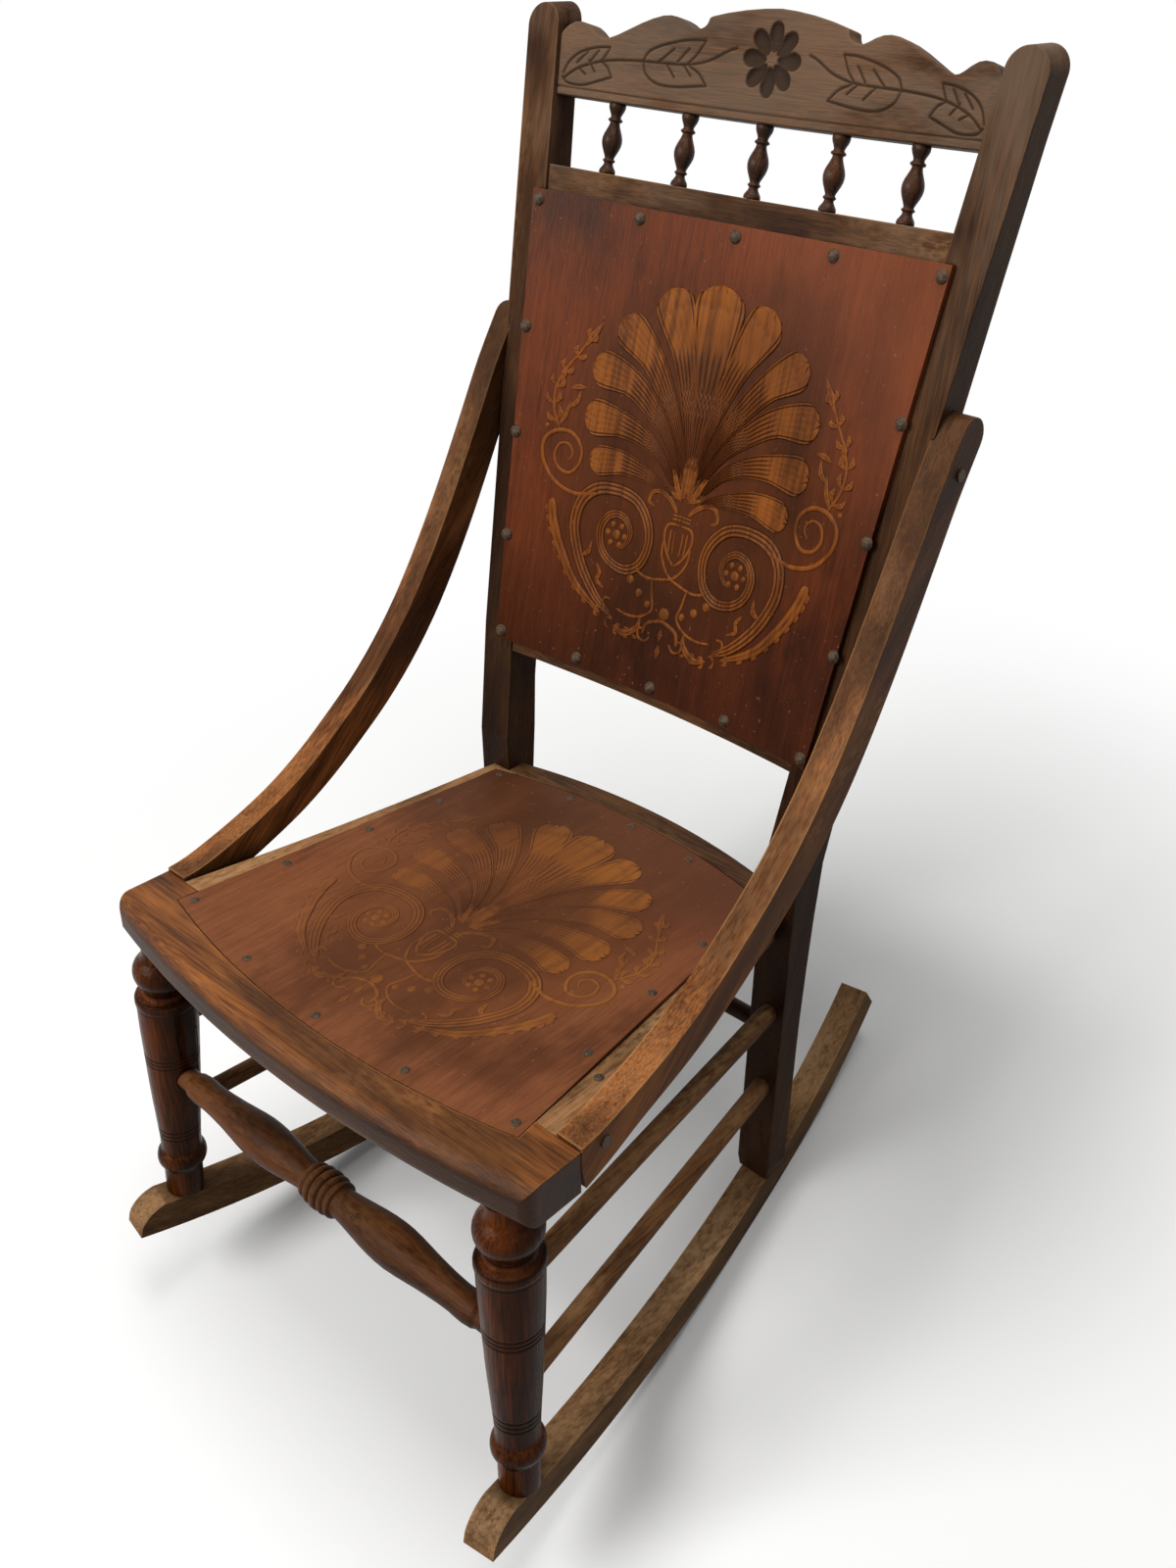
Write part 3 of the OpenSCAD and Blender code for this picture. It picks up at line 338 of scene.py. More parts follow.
def sheet_stain(name, angle, order, gloss, dark, light, dark_blotch_and_shade, pressed, middle, stain_and_shade_span,
                ochre=None):
    """Varnished ply: its third axis runs along the grain, and middle is where the ornament's
    middle lies on it. The pressed round is browner, a painted sheen lightens the sheet to the
    upper right, and it darkens between the two places of the span given, partly real stain and
    partly painted shade. With ochre it is the relief itself, bare on top and darkened with painted
    shade
    in the hollows as the notes say: the bare colour, its share at the left and how dark the
    painted shade in the hollows is."""
    finish = Finish(name, Specular_IOR_Level=0.06)
    place = finish.along(angle, order)
    across, along = finish.axis(place, 0), finish.axis(place, 2)
    stripe = finish.noise(place, (210, 20, 6), 4.0, 0.65)
    pores = finish.noise(place, (1300, 60, 60), 2.0, 0.6)
    clouds = finish.noise(place, (9, 5, 6), 4.0, 0.6)
    specks = finish.noise(place, (300, 300, 300), 1.0, 0.5)
    tone = stripe * 0.35 + pores * 0.4 + clouds * 0.45
    colour = finish.blend(tone.ramp(0.36, 0.88), dark, light)
    aside = along - middle
    out = (across * across + aside * aside).math("SQRT") + clouds * 0.04
    colour = finish.blend(out.ramp(*round_edge) * 0.6, colour, pressed)
    colour = finish.blend(clouds.ramp(0.54, 0.34) * 0.6, colour, dark_blotch_and_shade)
    # painted sheen towards the upper right
    colour = finish.blend((across + aside).ramp(0.09, 0.30) * 0.3, colour, painted_sheen)
    # darker over the span given, partly real stain and partly painted shade
    colour = finish.blend((aside + clouds * 0.08).ramp(*stain_and_shade_span) * 0.62, colour, dark_blotch_and_shade)
    colour = finish.blend(specks.ramp(0.72, 0.78) * 0.25, colour, speck)
    if ochre:
        bare_wood, left_share, hollow_shade = ochre
        note = finish.node("Attribute", attribute_name="note", out=1)
        bare, high = finish.axis(note, 0), finish.axis(note, 1)
        # painted shade in the relief's hollows
        colour = finish.blend(high.ramp(0.72, 0.25) * hollow_shade, colour, dark_blotch_and_shade)
        shown = bare * stripe.ramp(0.30, 0.62, 0.3, 1.0) * clouds.ramp(0.36, 0.54, 0.5, 1.0)
        shown = shown * across.ramp(-0.14, 0.06, left_share, 1.0)
        colour = finish.blend(shown, colour, bare_wood)
    finish.lay(colour, stripe * 0.2 + clouds * 0.2 + gloss,
               finish.relief(pores + stripe, sheet_pores))
    return finish


back_looks = dict(angle=back_lean, order=None, gloss=0.12, dark=paint(50, 19, 4),
                  light=paint(107, 51, 23), dark_blotch_and_shade=paint(28, 9, 1), pressed=paint(66, 34, 10),
                  middle=0.6164, stain_and_shade_span=(0.06, -0.16))
back_sheet = sheet_stain("back_sheet", **back_looks)
back_sheet.on("back_panel")
back_relief = sheet_stain("back_relief", **back_looks, ochre=(paint(132, 76, 27), 0.85, 0.95))
seat_looks = dict(angle=seat_lean, order=y_along, gloss=0.36, dark=paint(84, 48, 30),
                  light=paint(132, 83, 55), dark_blotch_and_shade=paint(62, 36, 22), pressed=paint(94, 55, 31),
                  middle=-0.1521, stain_and_shade_span=(0.06, 0.18))
seat_sheet = sheet_stain("seat_sheet", **seat_looks)
seat_sheet.on("seat_panel")
seat_relief = sheet_stain("seat_relief", **seat_looks, ochre=(paint(134, 83, 38), 0.25, 0.75))


# ---- Pressed ornament ---------------------------------------------------------------------------
# A low relief pressed into both sheets: a fluted shell, scrolls, leaves and beads, mirrored about
# the middle. It is strong and ochre on the back, and worn faint on the seat. The tables are in
# millimetres, across and up from the knot under the shell: middle lines, then half widths.

stem = [(-135, 41.7), (-143.3, 56.7), (-145, 73.3), (-138.3, 90), (-126.7, 106.7), (-115, 126.7)]
wreath = [(-131.7, -15), (-126.7, -33.3), (-113.3, -56.7), (-93.3, -80), (-63.3, -96.7)]
foot = [(-63.3, -96.7), (-43.3, -104), (-23.3, -101.7)]
shoulder = [(-100, -53.3), (-104, -30), (-100.7, -10), (-86.7, 3.3)]
petals = [
    ([(0, 33.3), (0, 66.7), (-0.3, 100), (-1.3, 133.3), (-1.7, 178.3)],
     [3, 7, 10.5, 15.5, 21.5]),
    ([(-2.7, 33.3), (-8, 66.7), (-16.7, 100), (-28.3, 130), (-49.3, 168.3)],
     [2, 4.3, 7.3, 10, 17.3]),
    ([(-6.7, 33.3), (-18.3, 63.3), (-36.7, 91.7), (-58.3, 116.7), (-89.3, 138.3)],
     [2, 4, 6.7, 9, 14.7]),
    ([(-10.7, 30), (-26.7, 56.7), (-46.7, 76.7), (-73.3, 93.3), (-110, 100)],
     [2, 4, 6.7, 9, 14]),
    ([(-14, 23.3), (-30, 41.7), (-50, 53.3), (-76.7, 59.3), (-110, 59.3)],
     [2, 3.7, 6, 8.7, 14]),
    ([(-15, 15), (-28.3, 21.7), (-46.7, 26.7), (-70, 29.3), (-98.3, 25)],
     [1.7, 3.3, 5.3, 8, 11.3]),
]
sprigs = [
    ("leaf", [(0.7, 20), (1, 30), (1.3, 41.7), (1.7, 51.7)], [2, 6, 7.3, 0.7]),
    ("leaf", [(-3.3, 13.3), (-10, 23.3), (-15, 33.3), (-18.3, 36.7)], [1.7, 3, 2.3, 0.7]),
    ("leaf", [(-5, 3.3), (-13.3, 11.7), (-23.3, 16.7), (-31.7, 15), (-35, 6.7), (-28.3, 3.3)],
     [2, 2.3, 2, 2, 1.7, 1]),
    ("cord", [(0.7, -5), (11.7, -6.7), (14, -16.7), (8.3, -30), (0, -38.3)], [1.3]),
    ("cord", [(-8.3, -10), (-8.3, -20), (-7.7, -30)], [1]),
    ("cord", [(-4, -10), (-4, -20), (-3.3, -30)], [1]),
    ("cord", [(-8.3, 1.7), (0, 2), (9.3, 1.7)], [1]),
    ("cord", [(-8.3, -1.3), (0, -1), (9.3, -1.3)], [1]),
    ("cord", [(14, -20), (12.7, -33.3), (3.3, -46.7), (-10, -51.7), (-23.3, -54),
     (-33.3, -51.7), (-36.7, -46)], [1.3]),
    ("cord", [(-18.3, -53.3), (-15.7, -66.7), (-13.3, -78.3), (-23.3, -86.7), (-36.7, -89.3),
     (-50, -87.3)], [1.3]),
    ("scroll", [(-53.3, -95), (-70, -85), (-86.7, -68.3), (-98.3, -50), (-105, -30),
     (-101.7, -10), (-88.3, 3.3), (-66.7, 7.3), (-46.7, 3.3), (-33.3, -10), (-28.3, -26.7),
     (-33.3, -45), (-46.7, -54), (-63.3, -51.7), (-75, -41.7), (-78.3, -26.7), (-71.7, -15),
     (-60, -11.7), (-50, -18.3), (-48.3, -28.3), (-53.3, -36), (-60.7, -37.3)],
     [3.7] * 7 + [3.3] * 3 + [3] * 3 + [2.7] * 3 + [2.3] * 2 + [2] * 2 + [1.7] * 2),
    ("leaf", wreath, [5.3, 5, 4.7, 4, 2]),
    ("cord", [(-76.7, 2.7), (-96.7, -3.3), (-113.3, -6), (-133.3, 0), (-146.7, 15),
     (-148.3, 30), (-138.3, 40), (-123.3, 41.7), (-111.7, 33.3), (-110, 20), (-118.3, 9.3),
     (-130, 10.7), (-136, 20), (-132.7, 30), (-124, 32), (-118.3, 25), (-122.7, 17.3)],
     [2] * 8 + [1.7] * 5 + [1.3] * 4),
    ("cord", stem, [1.3]),
    ("leaf", [(-122.7, 111.7), (-116.7, 121.7), (-109, 134)], [1, 4, 0.7]),
    ("leaf", [(-140, 76.7), (-139.3, 86.7), (-136, 95)], [1, 3.3, 0.7]),
    ("leaf", [(-130, 76.7), (-122.7, 79.3), (-115, 80)], [1, 3, 0.7]),
    ("leaf", [(-131.7, 60), (-122.7, 66.7), (-120, 76.7)], [1, 2.7, 0.7]),
    ("leaf", [(-138.3, 43.3), (-131.7, 53.3), (-128.3, 66.7)], [1, 2.7, 0.7]),
    ("cord", [(-18.3, -100), (-15, -90), (-3.3, -85), (3.3, -84.7)], [1.7]),
    ("cord", [(-10, -100), (-15, -105), (-21.7, -103.3), (-23.3, -96.7), (-18.3, -95)], [1.3]),
    ("leaf", [(-50, -101.7), (-36.7, -105), (-25, -96.7), (-23.3, -86.7)], [1.3, 3.3, 2.7, 1]),
    ("leaf", [(-76.7, -56), (-71.7, -63.3), (-73.3, -70), (-65, -75)], [1, 2, 2, 1]),
    ("leaf", [(-93.3, -53.3), (-86.7, -50), (-85, -40)], [1, 2.7, 1]),
    ("cord", [(-56, -81.7), (-61.7, -81.7), (-63.3, -86.7), (-58.3, -95)], [1.3]),
]
middle = [
    ("leaf", [(0, -100.7), (0, -96), (0, -90.7)], [1, 2.7, 0.7]),
    ("leaf", [(0, -115.7), (0, -110), (0, -104)], [1, 3, 0.7]),
]
# line, side, how many leaves, their length and half width
fronds = [(stem, 1, 6, 11, 2.9), (stem, -1, 6, 11, 2.9), (wreath, -1, 9, 9, 2.4),
          (wreath, 1, 8, 5, 1.5), (foot, 1, 4, 7, 1.8), (foot, -1, 4, 7, 1.8),
          (shoulder, 1, 5, 6, 1.7)]
# across, up and radius
beads = [
    (-40, -60, 4), (-29, -68.3, 3.7), (-18.3, -75, 3.3), (-130, 105, 2.3), (-121.7, 103.3, 2.3),
    (-147.7, 42.3, 2.3), (-61.7, -28.3, 4.3), (-53, -28.3, 2.7), (-57.3, -35.9, 2.7),
    (-66, -35.9, 2.7), (-70.3, -28.3, 2.7), (-66, -20.8, 2.7), (-57.3, -20.8, 2.7),
]
middle_bead = (0, -78, 5.4)
shell_fan = (24, 48, 72)  # degrees from upright of the small leaves at the shell's foot
sunk = -0.4  # millimetres, how far the closed underside lies in the sheet
bead_steps = (1.0, 0.9, 0.7, 0.4, 0.04)  # a bead's rings as shares of its radius
bead_sides = 16


def flowing(points, count):
    """A smooth line through the points (Catmull-Rom), as count places."""
    knots = np.array(points, float)
    knots = np.vstack([2 * knots[:1] - knots[1:2], knots, 2 * knots[-1:] - knots[-2:-1]])
    along = np.linspace(0, len(points) - 1, count)
    start = np.minimum(along.astype(int), len(points) - 2)
    u = (along - start)[:, None]
    a, b, c, d = (knots[start + k] for k in range(4))
    return (2 * b + (c - a) * u + (2 * a - 5 * b + 4 * c - d) * u ** 2
            + (3 * b - a - 3 * c + d) * u ** 3) / 2


def smooth(value, low, high):
    """0 below low, 1 above high, an S between."""
    u = np.clip((value - low) / (high - low), 0.0, 1.0)
    return u * u * (3 - 2 * u)


seat_back, seat_height = -83.85, 343.079  # where the seat's own axes start, in millimetres
back_start = 138.1  # millimetres from there to the start of the back's own axes
sheet_bow = 1000  # radius of the bowed back sheet
sheet_face = 14.2  # how far back the sheet's face lies at its middle
back_knot = 271.7  # height of the knot up the back
seat_knot = -36  # its place on the seat
seat_size, seat_rise = 0.93, 0.5  # shares of the back's ornament


def chair(x, y, z):
    """From the seat's own axes in millimetres to the standing chair in metres: the seat's lean,
    then a shift that puts the runners on the floor."""
    lean = radians(seat_lean)
    return np.stack((x, y * cos(lean) + z * sin(lean) + seat_back,
                     z * cos(lean) - y * sin(lean) + seat_height), axis=-1) / 1000


def leaning(x, w, v):
    """From the back's own axes, w to the rear and v up, raked from the seat's."""
    rake = radians(back_rake)
    return chair(x, back_start + w * cos(rake) + v * sin(rake), v * cos(rake) - w * sin(rake))


def on_back(x, up, rise):
    """A place on the back sheet, up from the knot under the shell, rise out of the sheet, which
    is bowed to a circle: x is R sin a and the depth is R cos a, with R less the rise."""
    turn = np.arcsin(x / sheet_bow)
    far = sheet_bow - rise
    return leaning(far * np.sin(turn), sheet_face - sheet_bow + far * np.cos(turn),
                   back_knot + up)


def on_seat(x, up, rise):
    """The same on the flat seat sheet, a little smaller and half as high."""
    return chair(seat_size * x, seat_size * up + seat_knot, rise * seat_rise)


def feathered(points, side, count, length, half):
    """Small leaves off one side of a line, bending back along it, shorter towards its end."""
    line = flowing(points, 8 * count + 1)
    way = np.gradient(line, axis=0)
    way = way / np.linalg.norm(way, axis=1)[:, None]
    for k in range(count):
        start, ahead = line[8 * k + 4], way[8 * k + 4]
        out = np.array((-ahead[1], ahead[0])) * side
        size = length * (1 - 0.35 * k / count)
        yield [start, start + size * (0.45 * ahead + 0.55 * out),
               start + size * (ahead + 0.6 * out)]


def ringed(rows, width, first=0):
    """Faces of a grid of corners whose rows are closed rings, with a face at each end."""
    here = first + np.arange(rows * width).reshape(rows, width)
    side = np.roll(here, -1, axis=1)
    quads = np.stack([here[:-1], here[1:], side[1:], side[:-1]], axis=-1).reshape(-1, 4)
    return quads.tolist() + [here[0].tolist(), here[-1][::-1].tolist()]


def grown(name, points, faces, notes, finish):
    """One smooth mesh object at the origin, with a note of three numbers at each corner."""
    mesh = bpy.data.meshes.new(name)
    mesh.from_pydata(points.tolist(), [], faces)
    mesh.shade_smooth()
    note = mesh.attributes.new("note", "FLOAT_VECTOR", "POINT")
    note.data.foreach_set("vector", notes.ravel())
    mesh.materials.append(finish.material)
    thing = bpy.data.objects.new(name, mesh)
    bpy.context.scene.collection.objects.link(thing)
    return thing


class Relief:
    """Closed low solids on one sheet, collected into one mesh. A corner's note says how bare
    the wood is there and how high it stands."""

    def __init__(self, place):
        self.place, self.points, self.faces, self.notes, self.count = place, [], [], [], 0

    def grid(self, x, up, rise, ochre, share):
        """Rows by columns of places, closed below by a sunk strip and by a face at each end."""
        rows = len(x)
        ring = [np.hstack([field, field[:, -1:], field[:, :1]]) for field in (x, up)]
        rise = np.hstack([rise, np.full((rows, 2), sunk)])
        note = [np.hstack([field, np.zeros((rows, 2))]) for field in (ochre, share)]
        width = ring[0].shape[1]
        self.points.append(self.place(ring[0], ring[1], rise).reshape(-1, 3))
        self.notes.append(np.stack(note + [note[0] * 0], axis=-1).reshape(-1, 3))
        self.faces += ringed(rows, width, self.count)
        self.count += rows * width

    def stroke(self, kind, points, half, flip):
        """A cord, scroll, leaf or shell petal: its middle line, its half widths along it, and a
        section that is round, hollowed, veined or fluted. It rises with its own width."""
        rows, columns, spread, blunt = {
            "petal": (72, 61, 1.3, 16), "scroll": (9 * len(points), 17, 1.6, 9),
            "leaf": (7 * len(points), 7, 1.1, 9), "cord": (9 * len(points), 7, 1.1, 9)}[kind]
        line = flowing(points, rows) * (flip, 1)
        s = np.linspace(0, 1, rows)[:, None]
        u = np.linspace(-1, 1, columns)[None, :]
        way = np.gradient(line, axis=0)
        way = way / np.linalg.norm(way, axis=1)[:, None]
        wide = np.interp(s[:, 0], np.linspace(0, 1, len(half)), half)
        close = np.sqrt(np.maximum(1 - np.abs(2 * s[:, 0] - 1) ** blunt, 0))
        wide = (wide * np.maximum(close, 0.03) * spread)[:, None]
        x = line[:, :1] - way[:, 1:] * wide * u
        up = line[:, 1:] + way[:, :1] * wide * u
        dome = np.sqrt(np.maximum(1 - u * u, 0)) + 0 * s
        if kind == "petal":
            scallop = 3.6 * smooth(s, 0.80, 0.97) * (np.abs(np.cos(1.5 * pi * u)) - 0.5 * u * u)
            x, up = x + way[:, :1] * scallop, up + way[:, 1:] * scallop
        if kind == "cord":
            share = dome
        elif kind == "scroll":
            share = np.sqrt(dome) * (0.7 + 0.3 * np.cos(3 * pi * u))
        elif kind == "leaf":
            share = dome * (0.55 + 0.45 * smooth(np.abs(u), 0.05, 0.4)) + 0.1 * np.sin(26 * s)
        else:
            # flutes that run wavy in a woven band, a plain end, a raised rim, a step at the tip
            fluted = 1 - smooth(s, 0.66, 0.80)
            wave = smooth(s, 0.34, 0.37) * (1 - smooth(s, 0.50, 0.53))
            flute = np.abs(np.cos(pi * 2.5 * u / 0.8 + 0.9 * wave * np.sin(110 * s))) ** 0.7
            share = flute * fluted + (0.86 - 0.14 * flute) * (1 - fluted)
            rim = smooth(np.abs(u), 0.78, 0.82)
            share = share * (1 - rim) + rim * smooth(np.abs(u), 0.82, 0.88)
            share = share * (1 - smooth(np.abs(u), 0.93, 0.99))
            tip = smooth(s, 0.90, 0.915) * (1 - smooth(s, 0.925, 0.94)) + 0 * u
            share = share * (1 - 0.25 * tip)
        if kind == "petal":
            ochre = 0.58 * smooth(s, 0.60, 0.80) + 0.42 * smooth(s, 0.15, 0.55)
            ochre = ochre * smooth(share, 0.3, 0.7)
        else:
            ochre = 0.85 * smooth(share, 0.4, 0.8)
        self.grid(x, up, share * np.minimum(0.28 + 0.2 * wide, 0.95),
                  np.clip(ochre, 0, 1) + 0 * x, np.clip(share, 0, 1))

    def bead(self, x, up, radius):
        """A dome 1 mm high, sunk 0.1 mm: its height is the square root of one less the square
        of its share of the radius."""
        turn = np.linspace(0, 2 * pi, bead_sides + 1)[:-1]
        share = np.array(bead_steps)[:, None]
        ring = share * radius
        points = self.place(x + ring * np.cos(turn), up + ring * np.sin(turn),
                            np.sqrt(1 - share * share) - 0.1 + 0 * turn).reshape(-1, 3)
        self.points.append(points)
        self.notes.append(np.tile((0.8, 1.0, 0.0), (len(points), 1)))
        self.faces += ringed(len(bead_steps), bead_sides, self.count)
        self.count += len(points)

    def piece(self, name, finish):
        """All that was collected, as one piece of the chair."""
        thing = grown(name, np.vstack(self.points), self.faces, np.vstack(self.notes), finish)
        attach(thing, "root")


for name, place, finish in (("back_ornament", on_back, back_relief),
                            ("seat_ornament", on_seat, seat_relief)):
    relief = Relief(place)
    for flip in (1, -1):
        for points, half in petals[1:]:
            relief.stroke("petal", points, half, flip)
        for kind, points, half in sprigs:
            relief.stroke(kind, points, half, flip)
        for frond in fronds:
            for points in feathered(*frond):
                relief.stroke("leaf", points, (0.6, frond[-1], 0.4), flip)
        for turn in shell_fan:
            way = np.array((-sin(radians(turn)), cos(radians(turn))))
            points = [(0, 14) + way * far for far in (3, 9, 17)]
            relief.stroke("leaf", points, (0.8, 2.6, 0.5), flip)
        for x, up, radius in beads:
            relief.bead(x * flip, up, radius)
    relief.stroke("petal", *petals[0], 1)
    for kind, points, half in middle:
        relief.stroke(kind, points, half, 1)
    relief.bead(*middle_bead)
    relief.piece(name, finish)


# ---- Carved crest rail --------------------------------------------------------------------------
# The scalloped top rail with its hollowed flower, two sprays of incised leaves and one line along
# the bottom. The arrises are worn round. The tables are in millimetres, across and up the back.

crest_foot = 570.9  # where the carved face starts, over the underside's rounded edge
underside = [(16.7, 570.3), (16.1, 570), (8.5, 570), (0.9, 570), (0.3, 570.3)]  # rearward, up
crest_thick = 17
crest_bow = 1250  # radius of the bowed face
bow_middle = 1233  # how far in front of the back's own axes the middle of that radius lies
top_round = 1.3  # radius of the worn top arris
top_reach = 196.2  # half the length over which the top line is drawn
places_along, face_rows, back_rows = 641, 113, 9
flower_up, petal_out, petal_long, petal_wide, petal_flare, petal_deep = (
    613.5, 15.6, 10.8, 6.3, 1.3, 3.4)
groove_deep, groove_half, groove_near = 1.5, 1.25, 10
darkest_cut_depth = 1.2  # a cut so deep gets the full painted shade
line_up, line_half = 576.1, 0.9  # the one line along the bottom, 1 mm deep
# A post's bend is 31 mm above the seat and its middle 159.5 mm out there. It spreads by a share
# of its height over the bend, and its inner side lies 16.55 mm inside its middle.
post_bend, post_out, post_spread, post_inner = 31, 159.5, 0.0973, 16.55
rake_share = 0.245  # how much a step to the rear lowers a place, from the rake
top_line = [
    (0, 648.5), (14, 647.6), (30, 645.6), (46, 642.6), (58, 639.6), (61.2, 638.4), (62.2, 635),
    (64, 632.4), (67.5, 630.2), (72, 629.4), (76, 629.9), (80, 631.6), (85, 634.3), (91, 636.4),
    (97, 637), (104, 636.2), (113, 633.4), (123, 629.2), (134, 623.8), (144, 618.9), (151, 616.2),
    (156, 615.2), (160, 615.8), (164, 618.2), (168, 621.4), (173, 624.2), (178, 625.2),
    (184, 624.6), (189, 622), (194, 617.8), (200, 609)]
cuts = [
    [(33, 619), (41, 616), (57, 608), (77, 603.6), (104, 602.4), (126, 601.7), (153, 598.7),
     (176, 591.5), (190, 582)],
    [(62.5, 621.7), (77, 621), (97, 616.5), (112, 610.3), (117.5, 602.5)],
    [(62.5, 621.7), (69, 611), (76, 604)],
    [(56, 590.4), (83, 587), (102, 587.6), (113.5, 593.7), (117, 601.6)],
    [(56, 590.4), (63.6, 598), (74, 602.8)],
    [(76.5, 614.8), (85.3, 604.8)], [(90.3, 613.5), (102.8, 603)],
    [(71.5, 596), (79, 602.8)], [(86.5, 593.5), (95.3, 602.3)],
    [(150.2, 609), (162.4, 607.6), (176.5, 603), (186, 595.4), (190.6, 586.1)],
    [(150.2, 609), (152.4, 604.2), (155.9, 598.5)],
    [(145, 587.5), (156.6, 583.4), (170.9, 578.9), (185.4, 579.3), (190.7, 583.3)],
    [(145, 587.5), (149.8, 594.1), (156.1, 598)],
    [(160, 606), (166.5, 597.3)], [(170, 604), (179, 594.8)],
    [(161.5, 589.8), (167.8, 597.3)], [(170, 587.3), (176.5, 591)]]


def carving(x, v):
    """How deep the face is cut: V grooves along the drawn lines, and eight scooped petals, each
    an ellipse whose depth is a root of one less its squared distance."""
    depth = np.clip(1 - np.abs(v - line_up) / line_half, 0, 1)
    for cut in cuts:
        line = flowing(cut, 8 * len(cut)) if len(cut) > 2 else np.array(cut, float)
        for a, b in zip(line[:-1], line[1:]):
            mid_x, mid_v = (a + b) / 2
            near = ((np.abs(np.abs(x) - mid_x) < groove_near)
                    & (np.abs(v - mid_v) < groove_near))
            px, pv = np.abs(x[near]) - a[0], v[near] - a[1]
            qx, qv = b - a
            t = np.clip((px * qx + pv * qv) / (qx * qx + qv * qv), 0, 1)
            away = np.hypot(px - t * qx, pv - t * qv)
            groove = groove_deep * np.clip(1 - away / groove_half, 0, 1)
            depth[near] = np.maximum(depth[near], groove)
    for k in range(8):
        c, s = cos(k * pi / 4), sin(k * pi / 4)
        dv = v - flower_up
        far = (x * c + dv * s - petal_out) / petal_long
        aside = (dv * c - x * s) / (petal_wide + petal_flare * far)
        scoop = np.maximum(1 - far * far - aside * aside, 0) ** 0.4 * petal_deep
        depth = np.maximum(depth, scoop)
    return depth


def carved_crest():
    """Rings round the rail's section, one for each place along it: the carved face going up, a
    rounded top, the plain back going down and the underside; both are bowed to circles."""
    places = np.linspace(-1, 1, places_along)[:, None]
    top = np.interp(np.abs(places * top_reach), *np.array(top_line).T)
    rise = np.linspace(0, 1, face_rows)[None, :]
    face_v = crest_foot + rise * (top - top_round - crest_foot)
    round_turn = np.radians([22.5, 45, 67.5, 90])[None, :]
    top_v = top - top_round + top_round * np.sin(round_turn)
    top_w = top_round - top_round * np.cos(round_turn) + 0 * places
    fall = np.linspace(0, 1, back_rows)[None, 1:]
    down_v = top - top_round - fall * (top - top_round - crest_foot)
    under_w, under_v = (np.array([row]) + 0 * places for row in zip(*underside))
    v = np.hstack([face_v, top_v, top_v[:, ::-1], down_v, under_v])
    w = np.hstack([0 * face_v, top_w, crest_thick - top_w[:, ::-1], crest_thick + 0 * down_v,
                   under_w])
    height = v * cos(radians(back_rake)) - w * rake_share
    x = places * (post_out + post_spread * (height - post_bend) - post_inner)
    depth = np.zeros(v.shape)
    depth[:, :face_rows] = carving(x[:, :face_rows], face_v)
    bow = np.sqrt(crest_bow ** 2 - x * x) - bow_middle
    points = leaning(x, bow + (w + depth), v)
    # the cut's depth share, carried in the note, darkens it with painted shade
    note = np.minimum(depth.ravel() / darkest_cut_depth, 1.0)
    notes = np.stack((note * 0, note * 0, note), axis=-1)
    return points.reshape(-1, 3), ringed(*v.shape), notes


crest = grown("carved_crest", *carved_crest(), cross_wood)
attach(crest, "root")
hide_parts("crest_rail")


# ---- Nails and screws ---------------------------------------------------------------------------
# Domed iron nails round the back sheet, flat ones in the seat, and the arms' iron screws. All
# have gone dull brown.

iron = Finish("dull_iron", Metallic=0.35, Specular_IOR_Level=0.3)
where = iron.node("TexCoord", out=3)
rust = iron.noise(where, 600.0, 3.0, 0.6)
iron.lay(iron.blend(rust.ramp(0.35, 0.65), paint(38, 30, 24), paint(84, 66, 50)),
         rust * 0.4 + 0.40, iron.relief(rust, 0.0004))
iron.on("back_panel_nails", "seat_panel_nails", "arm_top_screws", "arm_foot_screws")


# ---- Room: floor, lamps and camera --------------------------------------------------------------
# A pale floor that goes white away from the chair, a soft lamp in front above the sitter's right
# hand, a weaker one overhead, a faint one at the left, and the camera in front at the left.

# the floor's colour in the light that it throws back on the chair, and as the eye sees it
floor_lit, floor_seen = (0.13, 0.11, 0.09, 1.0), (0.86, 0.92, 1.0, 1.0)
floor_rough = 0.9
floor_half = 9.0  # metres from the middle to the floor's edges
white_from, white_at = 0.40, 0.95  # metres from the middle over which the floor goes white
warm_sky, white_sky = (1.0, 0.94, 0.87, 1.0), (1.0, 1.0, 1.0, 1.0)
sky_light = 0.2  # strength of the sky's light on the chair; seen, it is 1
lamp_colour = (1.0, 0.93, 0.84)


def looked_at(tree):
    """1 for rays from the camera, from a mirror image or through glass, 0 for the light's."""
    rays = tree.nodes.new("ShaderNodeLightPath").outputs
    seen = Wire(tree, rays[0]) + Wire(tree, rays[3]) + Wire(tree, rays[6])
    return seen.math("MINIMUM", 1.0)


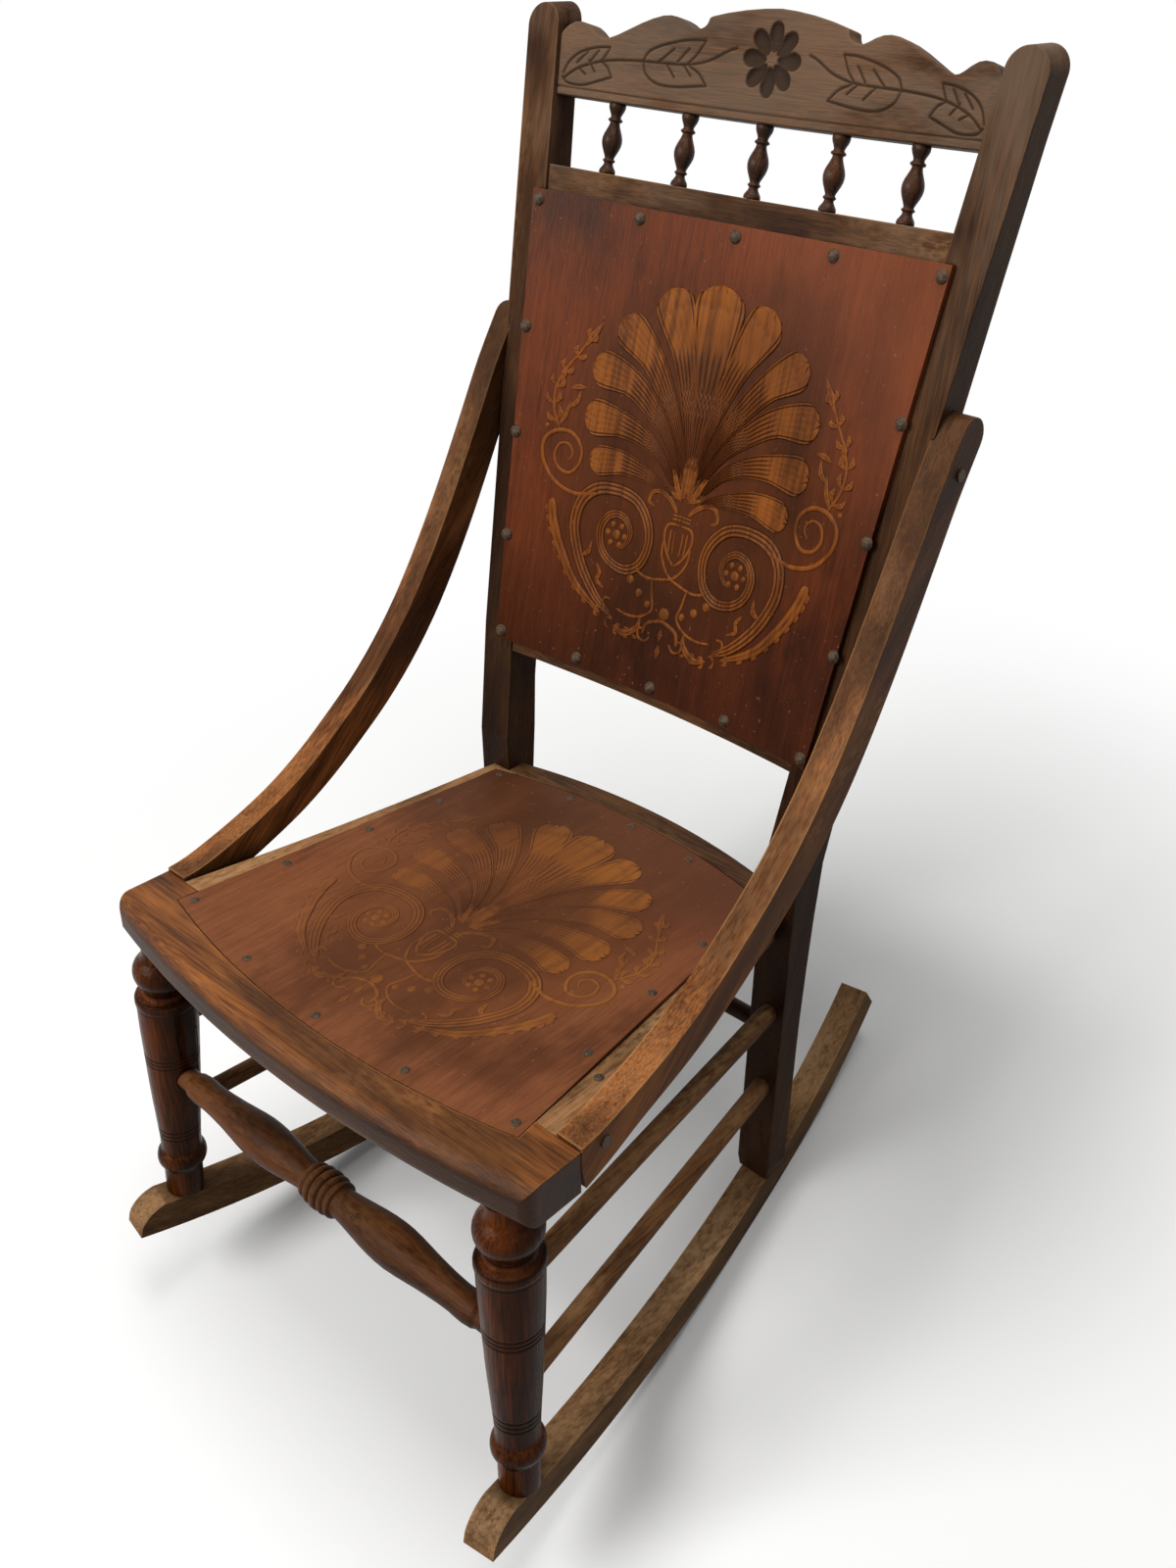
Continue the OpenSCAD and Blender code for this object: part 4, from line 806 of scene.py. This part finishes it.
side = [(-floor_half, -floor_half, 0), (floor_half, -floor_half, 0),
        (floor_half, floor_half, 0), (-floor_half, floor_half, 0)]
floor_mesh = bpy.data.meshes.new("floor")
floor_mesh.from_pydata(side, [], [(0, 1, 2, 3)])
floor = bpy.data.objects.new("floor", floor_mesh)
bpy.context.scene.collection.objects.link(floor)
pale = Finish("pale_floor")
seen = looked_at(pale.tree)
pale.lay(pale.blend(seen, floor_lit, floor_seen), floor_rough,
         pale.node("NewGeometry", out=1))
ground = pale.node("VectorMath", pale.node("NewGeometry", out=0), out=1, operation="LENGTH")
white = pale.node("Emission", white_sky, 1.0)
mixed = pale.node("MixShader", seen * ground.ramp(white_from, white_at),
                  Wire(pale.tree, pale.shader.outputs[0]), white)
join(pale.tree, pale.tree.nodes["Material Output"].inputs[0], mixed)
floor_mesh.materials.append(pale.material)

world = bpy.data.worlds.new("soft_sky")
bpy.context.scene.world = world
world.use_nodes = True
sky = world.node_tree
watched = looked_at(sky)
background = sky.nodes["Background"].inputs
join(sky, background[0], blend(sky, watched, warm_sky, white_sky))
join(sky, background[1], watched * (1.0 - sky_light) + sky_light)

for name, place, aim, width, watts in (
        ("key", (-0.95, -2.1, 2.35), (0.0, 0.0, 0.5), 1.6, 84.0),
        ("above", (0.2, 0.4, 2.7), (0.0, 0.0, 0.4), 1.4, 34.0),
        ("fill", (2.4, -0.9, 1.6), (0.0, 0.0, 0.4), 1.4, 6.0)):
    lamp = bpy.data.lights.new(name, "AREA")
    lamp.shape, lamp.size, lamp.energy = "DISK", width, watts
    lamp.color = lamp_colour
    holder = bpy.data.objects.new(name, lamp)
    bpy.context.scene.collection.objects.link(holder)
    holder.location = place
    ray = np.array(aim) - np.array(place)
    ray = ray / np.linalg.norm(ray)
    holder.rotation_euler = (np.arccos(-ray[2]), 0.0, np.arctan2(ray[1], ray[0]) - pi / 2)

# the camera fitted to the chair's edges, its lens and its middle in units of the picture
frame_wide, frame_high = 1200, 1600
focal_length, middle_across, middle_down = 1522.775, 701.664, 705.198
eye = bpy.data.cameras.new("eye")
camera = bpy.data.objects.new("eye", eye)
bpy.context.scene.collection.objects.link(camera)
camera.location = (0.705292, -0.553480, 1.148771)
camera.rotation_euler = (radians(52.915968), radians(6.121527), radians(39.874846))
eye.sensor_fit = "HORIZONTAL"
eye.sensor_width = 36.0
eye.lens = eye.sensor_width * focal_length / frame_wide
eye.shift_x = (frame_wide / 2 - middle_across) / frame_wide
eye.shift_y = (middle_down - frame_high / 2) / frame_wide
bpy.context.scene.camera = camera
bpy.context.scene.view_settings.view_transform = "Standard"
